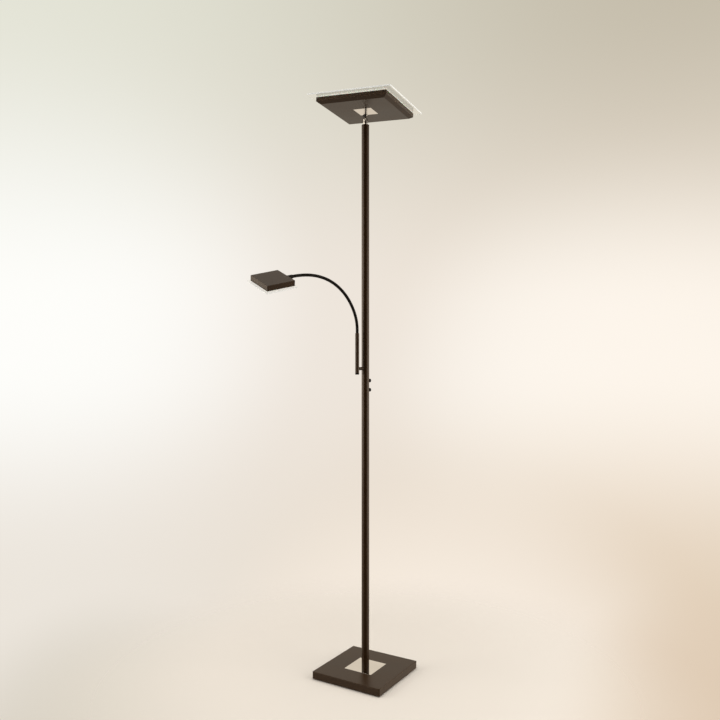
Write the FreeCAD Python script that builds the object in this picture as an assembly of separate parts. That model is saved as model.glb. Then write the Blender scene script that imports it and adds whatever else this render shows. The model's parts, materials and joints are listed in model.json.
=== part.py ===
# Torchiere floor lamp with a flexible reading light.
# Millimetres, +Z up. The origin is on the floor under the middle of the square base, whose sides run
# along X and Y. The pole stands on the Z axis.
import FreeCAD, Part
import math
import os

from FreeCAD import Placement, Rotation, Vector

# Clearances between pieces that fit each other
slip = 0.05            # radial, a turned piece in its hole
loose = 0.3            # between pieces that move past each other
seat = 0.5             # each side, the weight in the cover
sheet_gap = 0.2        # each side, a bright inlay in its recess

# Base
base_side = 240.0
base_height = 22.0      # height of the pressed cover
base_wall = 1.2
base_corner = 3.0       # radius of the cover's upright corners
base_edge = 1.6         # radius of the cover's top edge
pad_height = 3.0
pad_inset = 7.0         # the pad stands back from the cover on each side
weight_height = 12.0
buffer_radius = 6.0
buffer_inset = 16.0     # buffers from the cover's sides
base_inlay_side = 96.0
inlay_sheet = 1.5       # thickness of both bright inlay plates

# Threaded nipple that clamps base and pole, and the hexagon nuts that fit it
nipple_diameter = 10.0
nipple_bore = 6.5
nut_flats = 14.0
nut_height = 4.0
washer_diameter = 28.0
washer_height = 1.5
nut_recess = 1.0        # the nut stands this far above the weight's underside
spacer_wall = 4.0
nipple_above_cover = 16.0

# LED driver in its pocket in the weight
driver_length = 104.0
driver_width = 34.0
driver_height = 15.0
driver_offset = 76.0    # from the pole's axis
driver_floor = 1.5      # weight left under the driver
driver_gap = 1.0        # each side, in its pocket

# Inlet for the mains lead in the rear wall of the base
gland_bore = 6.0
gland_barrel = 8.0
gland_flange = 10.0
gland_flange_height = 2.0
gland_length = 12.0
gland_above_floor = 19.3
gland_ridge = 2.0       # width of the clip ridge behind the cover's wall
gland_ridge_height = 0.25

# Pole
pole_diameter = 24.0
pole_wall = 1.0
pole_top = 1731.0       # end of the upper tube, above the floor
pole_joint = 1290.0     # height of the screw joint, above the floor
tube_end_chamfer = 0.4
coupling_length = 60.0
coupling_bore = 14.0
foot_plug_length = 22.0
cap_dome = 1.8
cap_spigot = 14.0
cap_wall = 2.8          # of the cap's spigot and dome
lead_diameter = 5.0
lead_offset = 7.9       # the lead runs beside the dimmers
lead_bend = 60.0        # radius of the lead's bends

# Reading arm: direction in plan, from +X towards +Y
arm_direction = 247.5
holder_offset = 32.0    # pole's axis to holder's axis
holder_diameter = 12.5
holder_bore = 10.4
holder_bottom = 950.0
holder_top = 1074.5
stub_height = 963.7
stub_diameter = 10.0
stub_bore = 6.0
stub_nut_height = 3.0
stub_nut_diameter = 14.8
end_plug_height = 5.0
end_plug_spigot = 6.0

# Flexible neck: straight ends, six lengths that each turn by their own angle
neck_diameter = 9.6
neck_valley = 0.35      # depth of the groove between two ribs
neck_bore = 5.0
neck_turns = (22.0, 17.0, 19.0, 19.0, 16.0, 10.5)
neck_arc = 54.0         # length along each turn
neck_straight = 10.0
neck_root = 20.0        # length held in the holder
rib_pitch = 3.0
plain_end = 4.0         # length without ribs beside each hinge
socket_start = 2.0      # a length's near end stands this far past the hinge
ball_entry = 0.8        # its far end stops this far before the next hinge, inside the ball

# Reading head
reading_side = 93.0
reading_height = 17.0
reading_wall = 1.5
reading_glass_side = 107.0
reading_glass_sheet = 3.0
reading_gap = 2.0       # between housing and glass
reading_twist = -25.0   # turn of the head about the neck's end
ferrule_length = 12.0
ferrule_diameter = 12.0
ferrule_stem = 8.0
ferrule_skirt = 9.0     # length over the neck's end
reading_nut_flats = 11.0
reading_nut_height = 3.5
reading_board_side = 74.0
reading_board_shift = 3.0   # the board sits off the middle, clear of the nut
reading_board_gap = 3.0     # between the housing's top and the board
reading_post_offset = 34.0
reading_post_diameter = 7.2
reading_post_neck = 4.8
reading_screw = 2.5
reading_cap_diameter = 8.0
reading_cap_height = 1.6
reading_diffuser_set = 0.5  # the diffuser lies this far inside the rim
diffuser_gap = 0.4          # each side, both diffusers in their shells

# Dimmers, on the side of the pole away from the arm
dimmer_heights = (925.8, 896.5)
dimmer_bush = 7.0
dimmer_body_side = 10.0
dimmer_body_depth = 5.5
dimmer_nut_flats = 9.0
dimmer_nut_height = 1.7
dimmer_thread = 2.2     # the bush stands this far out of the pole
pin_length = 4.0
shaft_diameter = 4.0
knob_diameter = 11.5
knob_length = 7.0
knob_gap = 0.5
knob_flutes = 18
knob_recess = 5.4       # radius of the hollow over the nut

# Split swivel under the head
swivel_diameter = 13.0
swivel_pivot = 16.0     # above the domed cap
swivel_collar = 6.5     # height of the lower half's round collar
swivel_stem = 16.0      # length of the lower half's thread, down into the pole
swivel_eye = 7.4        # the lugs end this far past the pivot
swivel_neck = 15.0      # pivot to the upper half's round collar
swivel_washer_sheet = 3.0
swivel_to_head = 25.5   # pivot to the pan's underside
swivel_screw = 4.0
swivel_screw_head = 7.0
swivel_bore = 5.5       # way for the lead through both stems
swivel_lead = 5.2       # diameter of the lead where it crosses the swivel
swivel_lead_top = 12.6  # above the pivot
head_yaw = 7.2          # turn of the head about the pole, against the base
head_tilt = 2.65        # lean at rest, about the swivel's screw

# Head pan
pan_side = 233.0
pan_height = 19.3
pan_floor_side = 212.0
pan_slope_height = 6.8
pan_wall = 1.5
head_inlay_side = 60.0
head_washer_diameter = 24.0
board_side = 196.0
board_hole = 32.0
board_sheet = 1.6
board_stud_height = 5.0
board_stud_offset = 74.0
diffuser_sheet = 2.0
diffuser_drop = 0.6     # the diffuser lies this far below the rim
glass_side = 276.0
glass_sheet = 4.0
glass_gap = 2.3         # between the rim and the glass
post_offset = 96.0      # posts from the middle, along both sides
post_diameter = 9.0
post_neck = 5.0
glass_screw = 3.0
glass_cap_diameter = 13.0
glass_cap_height = 2.5
glass_hole = 4.6

# LED chips
chip_side = 3.0
chip_height = 0.8
head_chips = 6          # along each side of the field
head_chip_pitch = 30.0
reading_chips = 4
reading_chip_pitch = 15.0

# Sizes that follow
pole_radius = pole_diameter / 2.0
pole_inner = pole_radius - pole_wall
base_top = pad_height + base_height
weight_top = pad_height + weight_height
well_top = pad_height + nut_recess + nut_height + washer_height
driver_low = pad_height + driver_floor
cover_under_inlay = base_top - inlay_sheet - base_wall
cap_top = pole_top + cap_dome
pivot_height = cap_top + swivel_pivot
neck_radius = neck_diameter / 2.0
ball_radius = neck_radius - 0.1
z_axis = Vector(0, 0, 1)

parts = {}


def keep(name, solids):
    """Stores one node: a solid, or a list of separate solids of the same kind."""
    group = solids if isinstance(solids, list) else [solids]
    flat = []
    for shape in group:
        flat.extend(shape.Solids)
    parts[name] = Part.Compound(flat) if len(flat) > 1 else flat[0]


def block(length, width, low, high, x=0.0, y=0.0):
    """A block centred on x, y between two heights."""
    return Part.makeBox(length, width, high - low, Vector(x - length / 2.0, y - width / 2.0, low))


def rod(radius, low, high, x=0.0, y=0.0):
    """An upright cylinder between two heights."""
    return Part.makeCylinder(radius, high - low, Vector(x, y, low), z_axis)


def sleeve(outer, inner, low, high, x=0.0, y=0.0):
    """An upright tube between two heights."""
    return rod(outer, low, high, x, y).cut(rod(inner, low - 1.0, high + 1.0, x, y))


def bar(radius, start, end, height=0.0):
    """A cylinder along X between two places, at a height."""
    return Part.makeCylinder(radius, end - start, Vector(start, 0, height), Vector(1, 0, 0))


def hexagon(flats, low, high):
    """A hexagonal prism on the Z axis, a flat facing +Y."""
    corner = flats / math.sqrt(3.0)
    points = []
    for number in range(7):
        angle = math.radians(60.0 * number)
        points.append(Vector(corner * math.cos(angle), corner * math.sin(angle), low))
    return Part.Face(Part.makePolygon(points)).extrude(Vector(0, 0, high - low))


def nut(flats, bore, low, high):
    """A hexagon nut with its tips turned off at both faces."""
    corner = flats / math.sqrt(3.0)
    taper = corner - flats / 2.0
    lower = Part.makeCone(flats / 2.0, corner, taper, Vector(0, 0, low), z_axis)
    upper = Part.makeCone(corner, flats / 2.0, taper, Vector(0, 0, high - taper), z_axis)
    round_tips = lower.fuse([rod(corner, low + taper, high - taper), upper])
    return hexagon(flats, low, high).common(round_tips).cut(rod(bore, low - 1.0, high + 1.0))


def edges_where(shape, wanted):
    """The straight edges whose middle and direction pass the test."""
    found = []
    for edge in shape.Edges:
        if len(edge.Vertexes) != 2:
            continue
        run = edge.Vertexes[1].Point.sub(edge.Vertexes[0].Point)
        if run.Length < 0.01:
            continue
        if wanted(edge.CenterOfMass, run.normalize()):
            found.append(edge)
    return found


def upright_edges(shape):
    """The straight edges that run along Z."""
    return edges_where(shape, lambda middle, run: abs(run.z) > 0.9)


def turned(shape, axis, angle, centre=Vector(0, 0, 0)):
    """A copy of the shape turned about an axis through a point."""
    copy = shape.copy()
    copy.rotate(centre, axis, angle)
    return copy


def moved(shape, x, y, z):
    """A copy of the shape moved by x, y, z."""
    copy = shape.copy()
    copy.translate(Vector(x, y, z))
    return copy


def four(shape_at, offset):
    """Four like solids, one near each corner of a square."""
    return [shape_at(x, y) for x in (-offset, offset) for y in (-offset, offset)]


# Base

def base_pad():
    side = base_side - 2.0 * pad_inset
    pad = block(side, side, 0.0, pad_height)
    return pad.makeFillet(base_corner, upright_edges(pad))


def driver_pocket(low, high, gap):
    """The space of the driver in plan, with a gap on each side."""
    return block(driver_width + 2.0 * gap, driver_length + 2.0 * gap, low, high, x=-driver_offset)


def base_weight():
    side = base_side - 2.0 * (base_wall + seat)
    weight = block(side, side, pad_height, weight_top)
    weight = weight.makeChamfer(1.0, upright_edges(weight))
    weight = weight.cut(driver_pocket(driver_low, weight_top + 1.0, driver_gap))
    well = rod(washer_diameter / 2.0 + 1.0, pad_height - 1.0, well_top)
    hole = rod(nipple_diameter / 2.0 + slip, 0.0, weight_top + 1.0)
    return weight.cut(well).cut(hole)


def base_cover():
    outer = block(base_side, base_side, pad_height, base_top)
    outer = outer.makeFillet(base_corner, upright_edges(outer))
    rim = [edge for edge in outer.Edges if abs(edge.BoundBox.ZMin - base_top) < 0.01]
    outer = outer.makeFillet(base_edge, rim)
    inner_side = base_side - 2.0 * base_wall
    inner = block(inner_side, inner_side, pad_height - 1.0, base_top - base_wall)
    inner = inner.makeFillet(base_corner - base_wall, upright_edges(inner))
    shell = outer.cut(inner)
    recess = base_inlay_side + 2.0 * sheet_gap
    dish_side = recess + 2.0 * base_wall
    shell = shell.fuse(block(dish_side, dish_side, cover_under_inlay, base_top - base_wall)).removeSplitter()
    shell = shell.cut(block(recess, recess, base_top - inlay_sheet, base_top + 1.0))
    shell = shell.cut(rod(nipple_diameter / 2.0 + slip, cover_under_inlay - 1.0, base_top))
    hole_start = Vector(0, base_side / 2.0 - 5.0, gland_above_floor)
    return shell.cut(Part.makeCylinder(gland_barrel / 2.0 + slip, 10.0, hole_start, Vector(0, 1, 0)))


def base_inlay():
    plate = block(base_inlay_side, base_inlay_side, base_top - inlay_sheet, base_top)
    top = [edge for edge in plate.Edges if abs(edge.BoundBox.ZMin - base_top) < 0.01]
    plate = plate.makeChamfer(0.3, top)
    return plate.cut(rod(nipple_diameter / 2.0 + slip, base_top - 5.0, base_top + 1.0))


def mains_gland():
    """Snap-in bushing in the rear wall, along +Y, with a clip ridge inside the wall."""
    outside = base_side / 2.0
    inside = outside + gland_flange_height - gland_length
    y_axis = Vector(0, 1, 0)

    def drum(radius, start, end):
        return Part.makeCylinder(radius, end - start, Vector(0, start, gland_above_floor), y_axis)

    barrel = drum(gland_barrel / 2.0, inside, outside + 0.1)
    flange = drum(gland_flange / 2.0, outside, outside + gland_flange_height)
    ridge_high = outside - base_wall - slip
    ridge = drum(gland_barrel / 2.0 + gland_ridge_height, ridge_high - gland_ridge, ridge_high)
    body = barrel.fuse([flange, ridge]).removeSplitter()
    rim = [edge for edge in body.Edges
           if edge.BoundBox.YMin > outside + gland_flange_height - 0.01 and len(edge.Vertexes) == 1]
    body = body.makeFillet(0.8, rim)
    return body.cut(drum(gland_bore / 2.0, inside - 1.0, outside + gland_flange_height + 1.0))


def make_base():
    bore = nipple_bore / 2.0
    rod_radius = nipple_diameter / 2.0
    keep("base_pad", base_pad())
    keep("base_weight", base_weight())
    keep("base_cover", base_cover())
    keep("base_inlay", base_inlay())
    keep("mains_gland", mains_gland())
    driver = driver_pocket(driver_low, driver_low + driver_height, 0.0)
    keep("driver_box", driver.makeFillet(1.5, driver.Edges))
    nut_low = pad_height + nut_recess
    nut_high = nut_low + nut_height
    keep("base_nipple", sleeve(rod_radius, bore, nut_low, base_top + nipple_above_cover))
    keep("base_lock_nut", nut(nut_flats, rod_radius + slip, nut_low, nut_high))
    keep("base_washer", sleeve(washer_diameter / 2.0, rod_radius + slip, nut_high, well_top))
    keep("base_spacer", sleeve(rod_radius + spacer_wall, rod_radius + slip, weight_top, cover_under_inlay))
    buffer_high = base_top - base_wall
    buffer_offset = base_side / 2.0 - buffer_inset
    buffers = four(lambda x, y: rod(buffer_radius, weight_top, buffer_high, x, y), buffer_offset)
    keep("cover_buffers", buffers)


# Pole

def pole_tube(low, high, chamfer_low, chamfer_high):
    """A length of pole, with the outer edge broken at the ends that meet another length."""
    outer = rod(pole_radius, low, high)
    ends = []
    for edge in outer.Edges:
        at_low = abs(edge.BoundBox.ZMax - low) < 0.01
        at_high = abs(edge.BoundBox.ZMin - high) < 0.01
        if (at_low and chamfer_low) or (at_high and chamfer_high):
            ends.append(edge)
    if ends:
        outer = outer.makeChamfer(tube_end_chamfer, ends)
    return outer.cut(rod(pole_inner, low - 1.0, high + 1.0))


def pole_lower():
    tube = pole_tube(base_top, pole_joint, False, True)
    tube = tube.cut(bar(stub_diameter / 2.0 + slip, 0.0, pole_radius + 1.0, stub_height))
    for height in dimmer_heights:
        tube = tube.cut(bar(dimmer_bush / 2.0 + slip, -pole_radius - 1.0, 0.0, height))
    return to_arm(tube)


def pole_top_cap():
    dome = rod(pole_radius, pole_top, cap_top)
    dome = dome.makeFillet(cap_dome - 0.4, [e for e in dome.Edges if abs(e.BoundBox.ZMin - cap_top) < 0.01])
    spigot = rod(pole_inner - slip, pole_top - cap_spigot, pole_top + 0.1)
    hollow = rod(pole_inner - cap_wall, pole_top - cap_spigot - 1.0, pole_top - cap_wall)
    hole = rod(nipple_diameter / 2.0 + slip, pole_top - 5.0, cap_top + 1.0)
    return dome.fuse(spigot).cut(hollow).cut(hole)


def rounded_path(corners, radius):
    """Straight runs joined by tangent arcs of one radius, in one wire."""
    edges = []
    start = corners[0]
    for number in range(1, len(corners) - 1):
        before = corners[number - 1].sub(corners[number]).normalize()
        after = corners[number + 1].sub(corners[number]).normalize()
        turn = math.pi - before.getAngle(after)
        reach = radius * math.tan(turn / 2.0)
        first = corners[number].add(before.multiply(reach))
        last = corners[number].add(after.multiply(reach))
        inward = first.add(last).multiply(0.5).sub(corners[number]).normalize()
        centre = corners[number].add(Vector(inward).multiply(radius / math.cos(turn / 2.0)))
        middle = centre.sub(Vector(inward).multiply(radius))
        edges.append(Part.LineSegment(start, first).toShape())
        edges.append(Part.Arc(first, middle, last).toShape())
        start = last
    edges.append(Part.LineSegment(start, corners[-1]).toShape())
    return Part.Wire(edges)


def pipe(path, radius):
    """A round bar along a wire."""
    first = path.Edges[0]
    start = first.valueAt(first.FirstParameter)
    along = first.tangentAt(first.FirstParameter)
    circle = Part.Wire([Part.Circle(start, along, radius).toShape()])
    round_bar = path.makePipeShell([circle], True, False)
    if round_bar.Volume < 0.0:
        round_bar.reverse()
    return round_bar


def pole_lead():
    """The lead from the base to the swivel. It passes the dimmers on one side."""
    low = base_top - 8.0
    high = pole_top - 1.0
    corners = [
        Vector(0, 0, low),
        Vector(0, 0, base_top + 60.0),
        Vector(0, lead_offset, base_top + 110.0),
        Vector(0, lead_offset, pole_joint - 90.0),
        Vector(0, 0, pole_joint - 45.0),
        Vector(0, 0, high),
    ]
    return to_arm(pipe(rounded_path(corners, lead_bend), lead_diameter / 2.0))


def make_pole():
    keep("pole_lower", pole_lower())
    keep("pole_upper", pole_tube(pole_joint, pole_top, True, False))
    plug_low = base_top
    plug = sleeve(pole_inner - slip, nipple_diameter / 2.0 + slip, plug_low, plug_low + foot_plug_length)
    keep("pole_foot_plug", plug)
    half = coupling_length / 2.0
    coupling = sleeve(pole_inner - slip, coupling_bore / 2.0, pole_joint - half, pole_joint + half)
    keep("pole_coupling", coupling)
    keep("pole_top_cap", pole_top_cap())
    keep("pole_lead", pole_lead())


# Dimmers, built along -X and turned into the arm's plane

def to_arm(shape):
    """Turns a shape built along +X into the arm's direction."""
    return turned(shape, z_axis, arm_direction)


def dimmer_body(height):
    bush_radius = dimmer_bush / 2.0
    front = -pole_inner + 2.4
    shell = Part.makeBox(
        dimmer_body_depth, dimmer_body_side, dimmer_body_side,
        Vector(front, -dimmer_body_side / 2.0, height - dimmer_body_side / 2.0))
    shell = shell.makeFillet(0.6, shell.Edges)
    bush = bar(bush_radius, -pole_radius - dimmer_thread, front + 1.0, height)
    pins = []
    for step in (-2.5, 0.0, 2.5):
        low = height - dimmer_body_side / 2.0 - pin_length + 1.0
        pins.append(Part.makeBox(0.4, 1.0, pin_length, Vector(front + 2.0, step - 0.5, low)))
    body = shell.fuse([bush] + pins)
    return to_arm(body.cut(bar(shaft_diameter / 2.0 + slip, -pole_radius - 4.0, front + 3.0, height)))


def dimmer_nut(height):
    flat = nut(dimmer_nut_flats, dimmer_bush / 2.0 + slip, 0.0, dimmer_nut_height)
    flat = turned(flat, Vector(0, 1, 0), -90.0)
    return to_arm(moved(flat, -pole_radius, 0.0, height))


def dimmer_shaft(height):
    shaft = bar(shaft_diameter / 2.0, -pole_radius - knob_length + 1.5, -pole_inner + 5.0, height)
    return to_arm(shaft)


def dimmer_knob(height):
    """A fluted knob with a pointer line in its face and a recess over the nut."""
    radius = knob_diameter / 2.0
    back = -pole_radius - knob_gap
    face = back - knob_length + knob_gap
    knob = bar(radius, face, back, height)
    rim = [e for e in knob.Edges if abs(e.BoundBox.XMax - face) < 0.01 and len(e.Vertexes) == 1]
    knob = knob.makeFillet(0.7, rim)
    for number in range(knob_flutes):
        angle = 2.0 * math.pi * number / knob_flutes
        across = (radius + 0.15) * math.cos(angle)
        up = height + (radius + 0.15) * math.sin(angle)
        start = Vector(face + 1.4, across, up)
        knob = knob.cut(Part.makeCylinder(0.45, knob_length, start, Vector(1, 0, 0)))
    pointer = Part.makeBox(0.4, 0.8, radius, Vector(face - 0.01, -0.4, height + 1.0))
    recess = bar(knob_recess, back - dimmer_thread, back + 1.0, height)
    hole = bar(shaft_diameter / 2.0 + slip, face + 1.4, back + 1.0, height)
    return to_arm(knob.cut(pointer).cut(recess).cut(hole))


def make_dimmers():
    for name, height in zip(("head", "reading"), dimmer_heights):
        keep(name + "_dimmer_body", dimmer_body(height))
        keep(name + "_dimmer_shaft", dimmer_shaft(height))
        keep(name + "_dimmer_knob", dimmer_knob(height))
    keep("dimmer_nuts", [dimmer_nut(height) for height in dimmer_heights])


# Arm: stub, holder and flexible neck, built in the XZ plane and turned into place

def arm_stub():
    inner_end = pole_inner - 2.0 * stub_nut_height - 1.5
    stub = bar(stub_diameter / 2.0, inner_end, holder_offset, stub_height)
    saddle = rod(holder_diameter / 2.0 + 0.02, stub_height - 20.0, stub_height + 20.0, x=holder_offset)
    stub = stub.cut(saddle)
    return stub.cut(bar(stub_bore / 2.0, 0.0, holder_offset, stub_height))


def stub_nut():
    """The round nut inside the pole. Its face is curved to the tube's inner wall."""
    outer = pole_inner - slip
    flange = bar(stub_nut_diameter / 2.0, pole_inner - 2.0 * stub_nut_height, pole_inner, stub_height)
    flange = flange.common(rod(outer, stub_height - 20.0, stub_height + 20.0))
    return flange.cut(bar(stub_diameter / 2.0 + slip, 0.0, pole_radius, stub_height))


def arm_holder():
    tube = sleeve(holder_diameter / 2.0, holder_bore / 2.0, holder_bottom, holder_top, x=holder_offset)
    top = [e for e in tube.Edges
           if abs(e.BoundBox.ZMin - holder_top) < 0.01 and e.BoundBox.XLength > holder_diameter - 0.1]
    tube = tube.makeFillet(0.6, top)
    return tube.cut(bar(stub_bore / 2.0, 0.0, holder_offset, stub_height))


def holder_end_plug():
    flange_low = holder_bottom - end_plug_height
    flange = rod(holder_diameter / 2.0, flange_low, holder_bottom, x=holder_offset)
    low_edge = [e for e in flange.Edges if abs(e.BoundBox.ZMax - flange_low) < 0.01]
    flange = flange.makeFillet(1.2, low_edge)
    spigot_top = holder_bottom + end_plug_spigot
    spigot = rod(holder_bore / 2.0 - slip, holder_bottom - 0.1, spigot_top, x=holder_offset)
    return flange.fuse(spigot).removeSplitter()


def neck_frames():
    """The neck's centreline: x, z and heading in degrees from +X at both ends of every turn."""
    x = holder_offset
    z = holder_top + neck_straight
    heading = 90.0
    frames = [(x, z, heading)]
    for turn in neck_turns:
        angle = math.radians(turn)
        chord = 2.0 * neck_arc / angle * math.sin(angle / 2.0)
        along = math.radians(heading - turn / 2.0)
        x += chord * math.cos(along)
        z += chord * math.sin(along)
        heading -= turn
        frames.append((x, z, heading))
    return frames


frames = neck_frames()
neck_count = len(neck_turns)


def ahead(frame, distance):
    """The point a distance ahead of a frame, along its heading."""
    x, z, heading = frame
    angle = math.radians(heading)
    return Vector(x + distance * math.cos(angle), 0, z + distance * math.sin(angle))


neck_end = ahead(frames[-1], neck_straight)
neck_end_heading = frames[-1][2]


def on_arc(number, distance):
    """Point and heading on one length's arc. Outside the arc the line goes on straight."""
    turn = neck_turns[number]
    start = frames[number]
    if distance <= 0.0:
        return ahead(start, distance), start[2]
    if distance >= neck_arc:
        return ahead(frames[number + 1], distance - neck_arc), frames[number + 1][2]
    part_turn = turn * distance / neck_arc
    half = math.radians(part_turn / 2.0)
    radius = neck_arc / math.radians(turn)
    chord = 2.0 * radius * math.sin(half)
    x, z, heading = start
    along = math.radians(heading) - half
    return Vector(x + chord * math.cos(along), 0, z + chord * math.sin(along)), heading - part_turn


def ring(number, distance, radius):
    """One circle square to the centreline, with its seam always on +Y."""
    centre, heading = on_arc(number, distance)
    angle = math.radians(heading)
    tangent = Vector(math.cos(angle), 0, math.sin(angle))
    side = Vector(0, 1, 0)
    circle = Part.Circle(Vector(0, 0, 0), z_axis, radius).toShape()
    circle.Placement = Placement(centre, Rotation(side, tangent.cross(side), tangent, "ZXY"))
    return Part.Wire([circle])


def neck_bore_bar(number, low, high):
    """The bar that cuts the lead's way through one length."""
    first, _ = on_arc(number, low)
    begin, _ = on_arc(number, 0.0)
    middle, _ = on_arc(number, neck_arc / 2.0)
    end, _ = on_arc(number, neck_arc)
    last, _ = on_arc(number, high)
    path = Part.Wire([
        Part.LineSegment(first, begin).toShape(),
        Part.Arc(begin, middle, end).toShape(),
        Part.LineSegment(end, last).toShape(),
    ])
    return pipe(path, neck_bore / 2.0)


def neck_ball(number, distance, radius):
    """A ball round a hinge. Its poles lie on the centreline, where the bore takes them away."""
    centre, heading = on_arc(number, distance)
    angle = math.radians(heading)
    return Part.makeSphere(radius, centre, Vector(math.cos(angle), 0, math.sin(angle)))


def neck_length(number):
    """One stiff length of the neck: ribs, a ball at its far end and a socket at its near end."""
    first = number == 0
    last = number == neck_count - 1
    crest = neck_radius
    valley = neck_radius - neck_valley
    low = -neck_straight - neck_root if first else socket_start
    high = neck_arc + neck_straight if last else neck_arc - ball_entry
    rib_low = -neck_straight + 2.0 if first else plain_end
    rib_high = neck_arc if last else neck_arc - plain_end
    rib_count = int(round((rib_high - rib_low) / rib_pitch))
    pitch = (rib_high - rib_low) / rib_count
    sections = [ring(number, low, valley)]
    for rib in range(rib_count):
        start = rib_low + rib * pitch
        sections.append(ring(number, start, valley))
        sections.append(ring(number, start + 0.3 * pitch, crest))
        sections.append(ring(number, start + 0.5 * pitch, crest))
        sections.append(ring(number, start + 0.8 * pitch, valley))
    sections.append(ring(number, rib_high, valley))
    sections.append(ring(number, high, valley))
    body = Part.makeLoft(sections, True, True)
    bore_low = low - 1.0
    bore_high = neck_arc + ball_radius + 1.0
    if last:
        bore_high = high + 1.0
    else:
        body = body.fuse(neck_ball(number, neck_arc, ball_radius))
    if not first:
        body = body.cut(neck_ball(number, 0.0, ball_radius + loose))
    return to_arm(body.cut(neck_bore_bar(number, bore_low, bore_high)))


def make_arm():
    keep("arm_stub", to_arm(arm_stub()))
    keep("stub_nut", to_arm(stub_nut()))
    keep("arm_holder", to_arm(arm_holder()))
    keep("holder_end_plug", to_arm(holder_end_plug()))
    for number in range(neck_count):
        keep("neck_%d" % (number + 1), neck_length(number))


# Reading head, built with the neck's end at the origin: X out along the neck, Z up, light downwards

def to_reading(shape):
    """Twists the head about the neck, dips it to the neck's heading and puts it at the neck's end."""
    copy = turned(shape, Vector(1, 0, 0), reading_twist)
    copy = turned(copy, Vector(0, 1, 0), -neck_end_heading)
    return to_arm(moved(copy, neck_end.x, 0.0, neck_end.z))


def reading_shell():
    """Square housing, open underneath."""
    low = -reading_height / 2.0
    high = reading_height / 2.0
    middle = ferrule_length + reading_side / 2.0
    outer = block(reading_side, reading_side, low, high, x=middle)
    sharp = [edge for edge in outer.Edges if edge.BoundBox.ZMax > low + 0.01]
    outer = outer.makeFillet(1.0, sharp)
    inner_side = reading_side - 2.0 * reading_wall
    inner = block(inner_side, inner_side, low - 1.0, high - reading_wall, x=middle)
    hole = bar(ferrule_stem / 2.0 + slip, 0.0, ferrule_length + 5.0)
    return outer.cut(inner).cut(hole)


def neck_ferrule():
    """Sleeve over the neck's end with a threaded stem into the housing."""
    body = bar(ferrule_diameter / 2.0, -ferrule_skirt, ferrule_length)
    rims = [e for e in body.Edges if len(e.Vertexes) == 1]
    body = body.makeFillet(0.8, rims)
    stem_end = ferrule_length + reading_wall + reading_nut_height + 1.5
    body = body.fuse(bar(ferrule_stem / 2.0, ferrule_length - 0.1, stem_end))
    body = body.cut(bar(neck_radius + loose, -ferrule_skirt - 1.0, loose))
    return body.cut(bar(neck_bore / 2.0, -1.0, stem_end + 1.0))


def chips(count, pitch, low, x, y):
    """A square field of LED chips round a point, all standing on one height."""
    found = []
    for column in range(count):
        for row in range(count):
            place_x = x + (column - (count - 1) / 2.0) * pitch
            place_y = y + (row - (count - 1) / 2.0) * pitch
            found.append(block(chip_side, chip_side, low, low + chip_height, place_x, place_y))
    return found


def drilled(plate, radius, offset, low, high, x=0.0):
    """The plate with four holes, one near each corner of a square."""
    holes = four(lambda across, along: rod(radius, low - 1.0, high + 1.0, x + across, along), offset)
    for hole in holes:
        plate = plate.cut(hole)
    return plate


def reading_post(x, y):
    """Threaded post between the housing's top and the glass, with a shoulder on the diffuser."""
    column = rod(reading_post_diameter / 2.0, reading_diffuser_high, reading_ceiling, x, y)
    neck = rod(reading_post_neck / 2.0, reading_pane_high, reading_diffuser_high + 0.1, x, y)
    thread = rod(reading_screw / 2.0 + slip, reading_pane_high - 1.0, reading_pane_high + 8.0, x, y)
    return column.fuse(neck).cut(thread)


def reading_cap(x, y):
    """Countersunk-shaped cap screw under the glass."""
    radius = reading_cap_diameter / 2.0
    low = Vector(x, y, reading_pane_low - reading_cap_height)
    head = Part.makeCone(radius - 0.8, radius, reading_cap_height, low, z_axis)
    return head.fuse(rod(reading_screw / 2.0, reading_pane_low - 0.1, reading_pane_high + 7.0, x, y))


reading_middle = ferrule_length + reading_side / 2.0
reading_floor = -reading_height / 2.0
reading_ceiling = reading_height / 2.0 - reading_wall
reading_diffuser_low = reading_floor + reading_diffuser_set
reading_diffuser_high = reading_diffuser_low + diffuser_sheet
reading_pane_high = reading_floor - reading_gap
reading_pane_low = reading_pane_high - reading_glass_sheet


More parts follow.
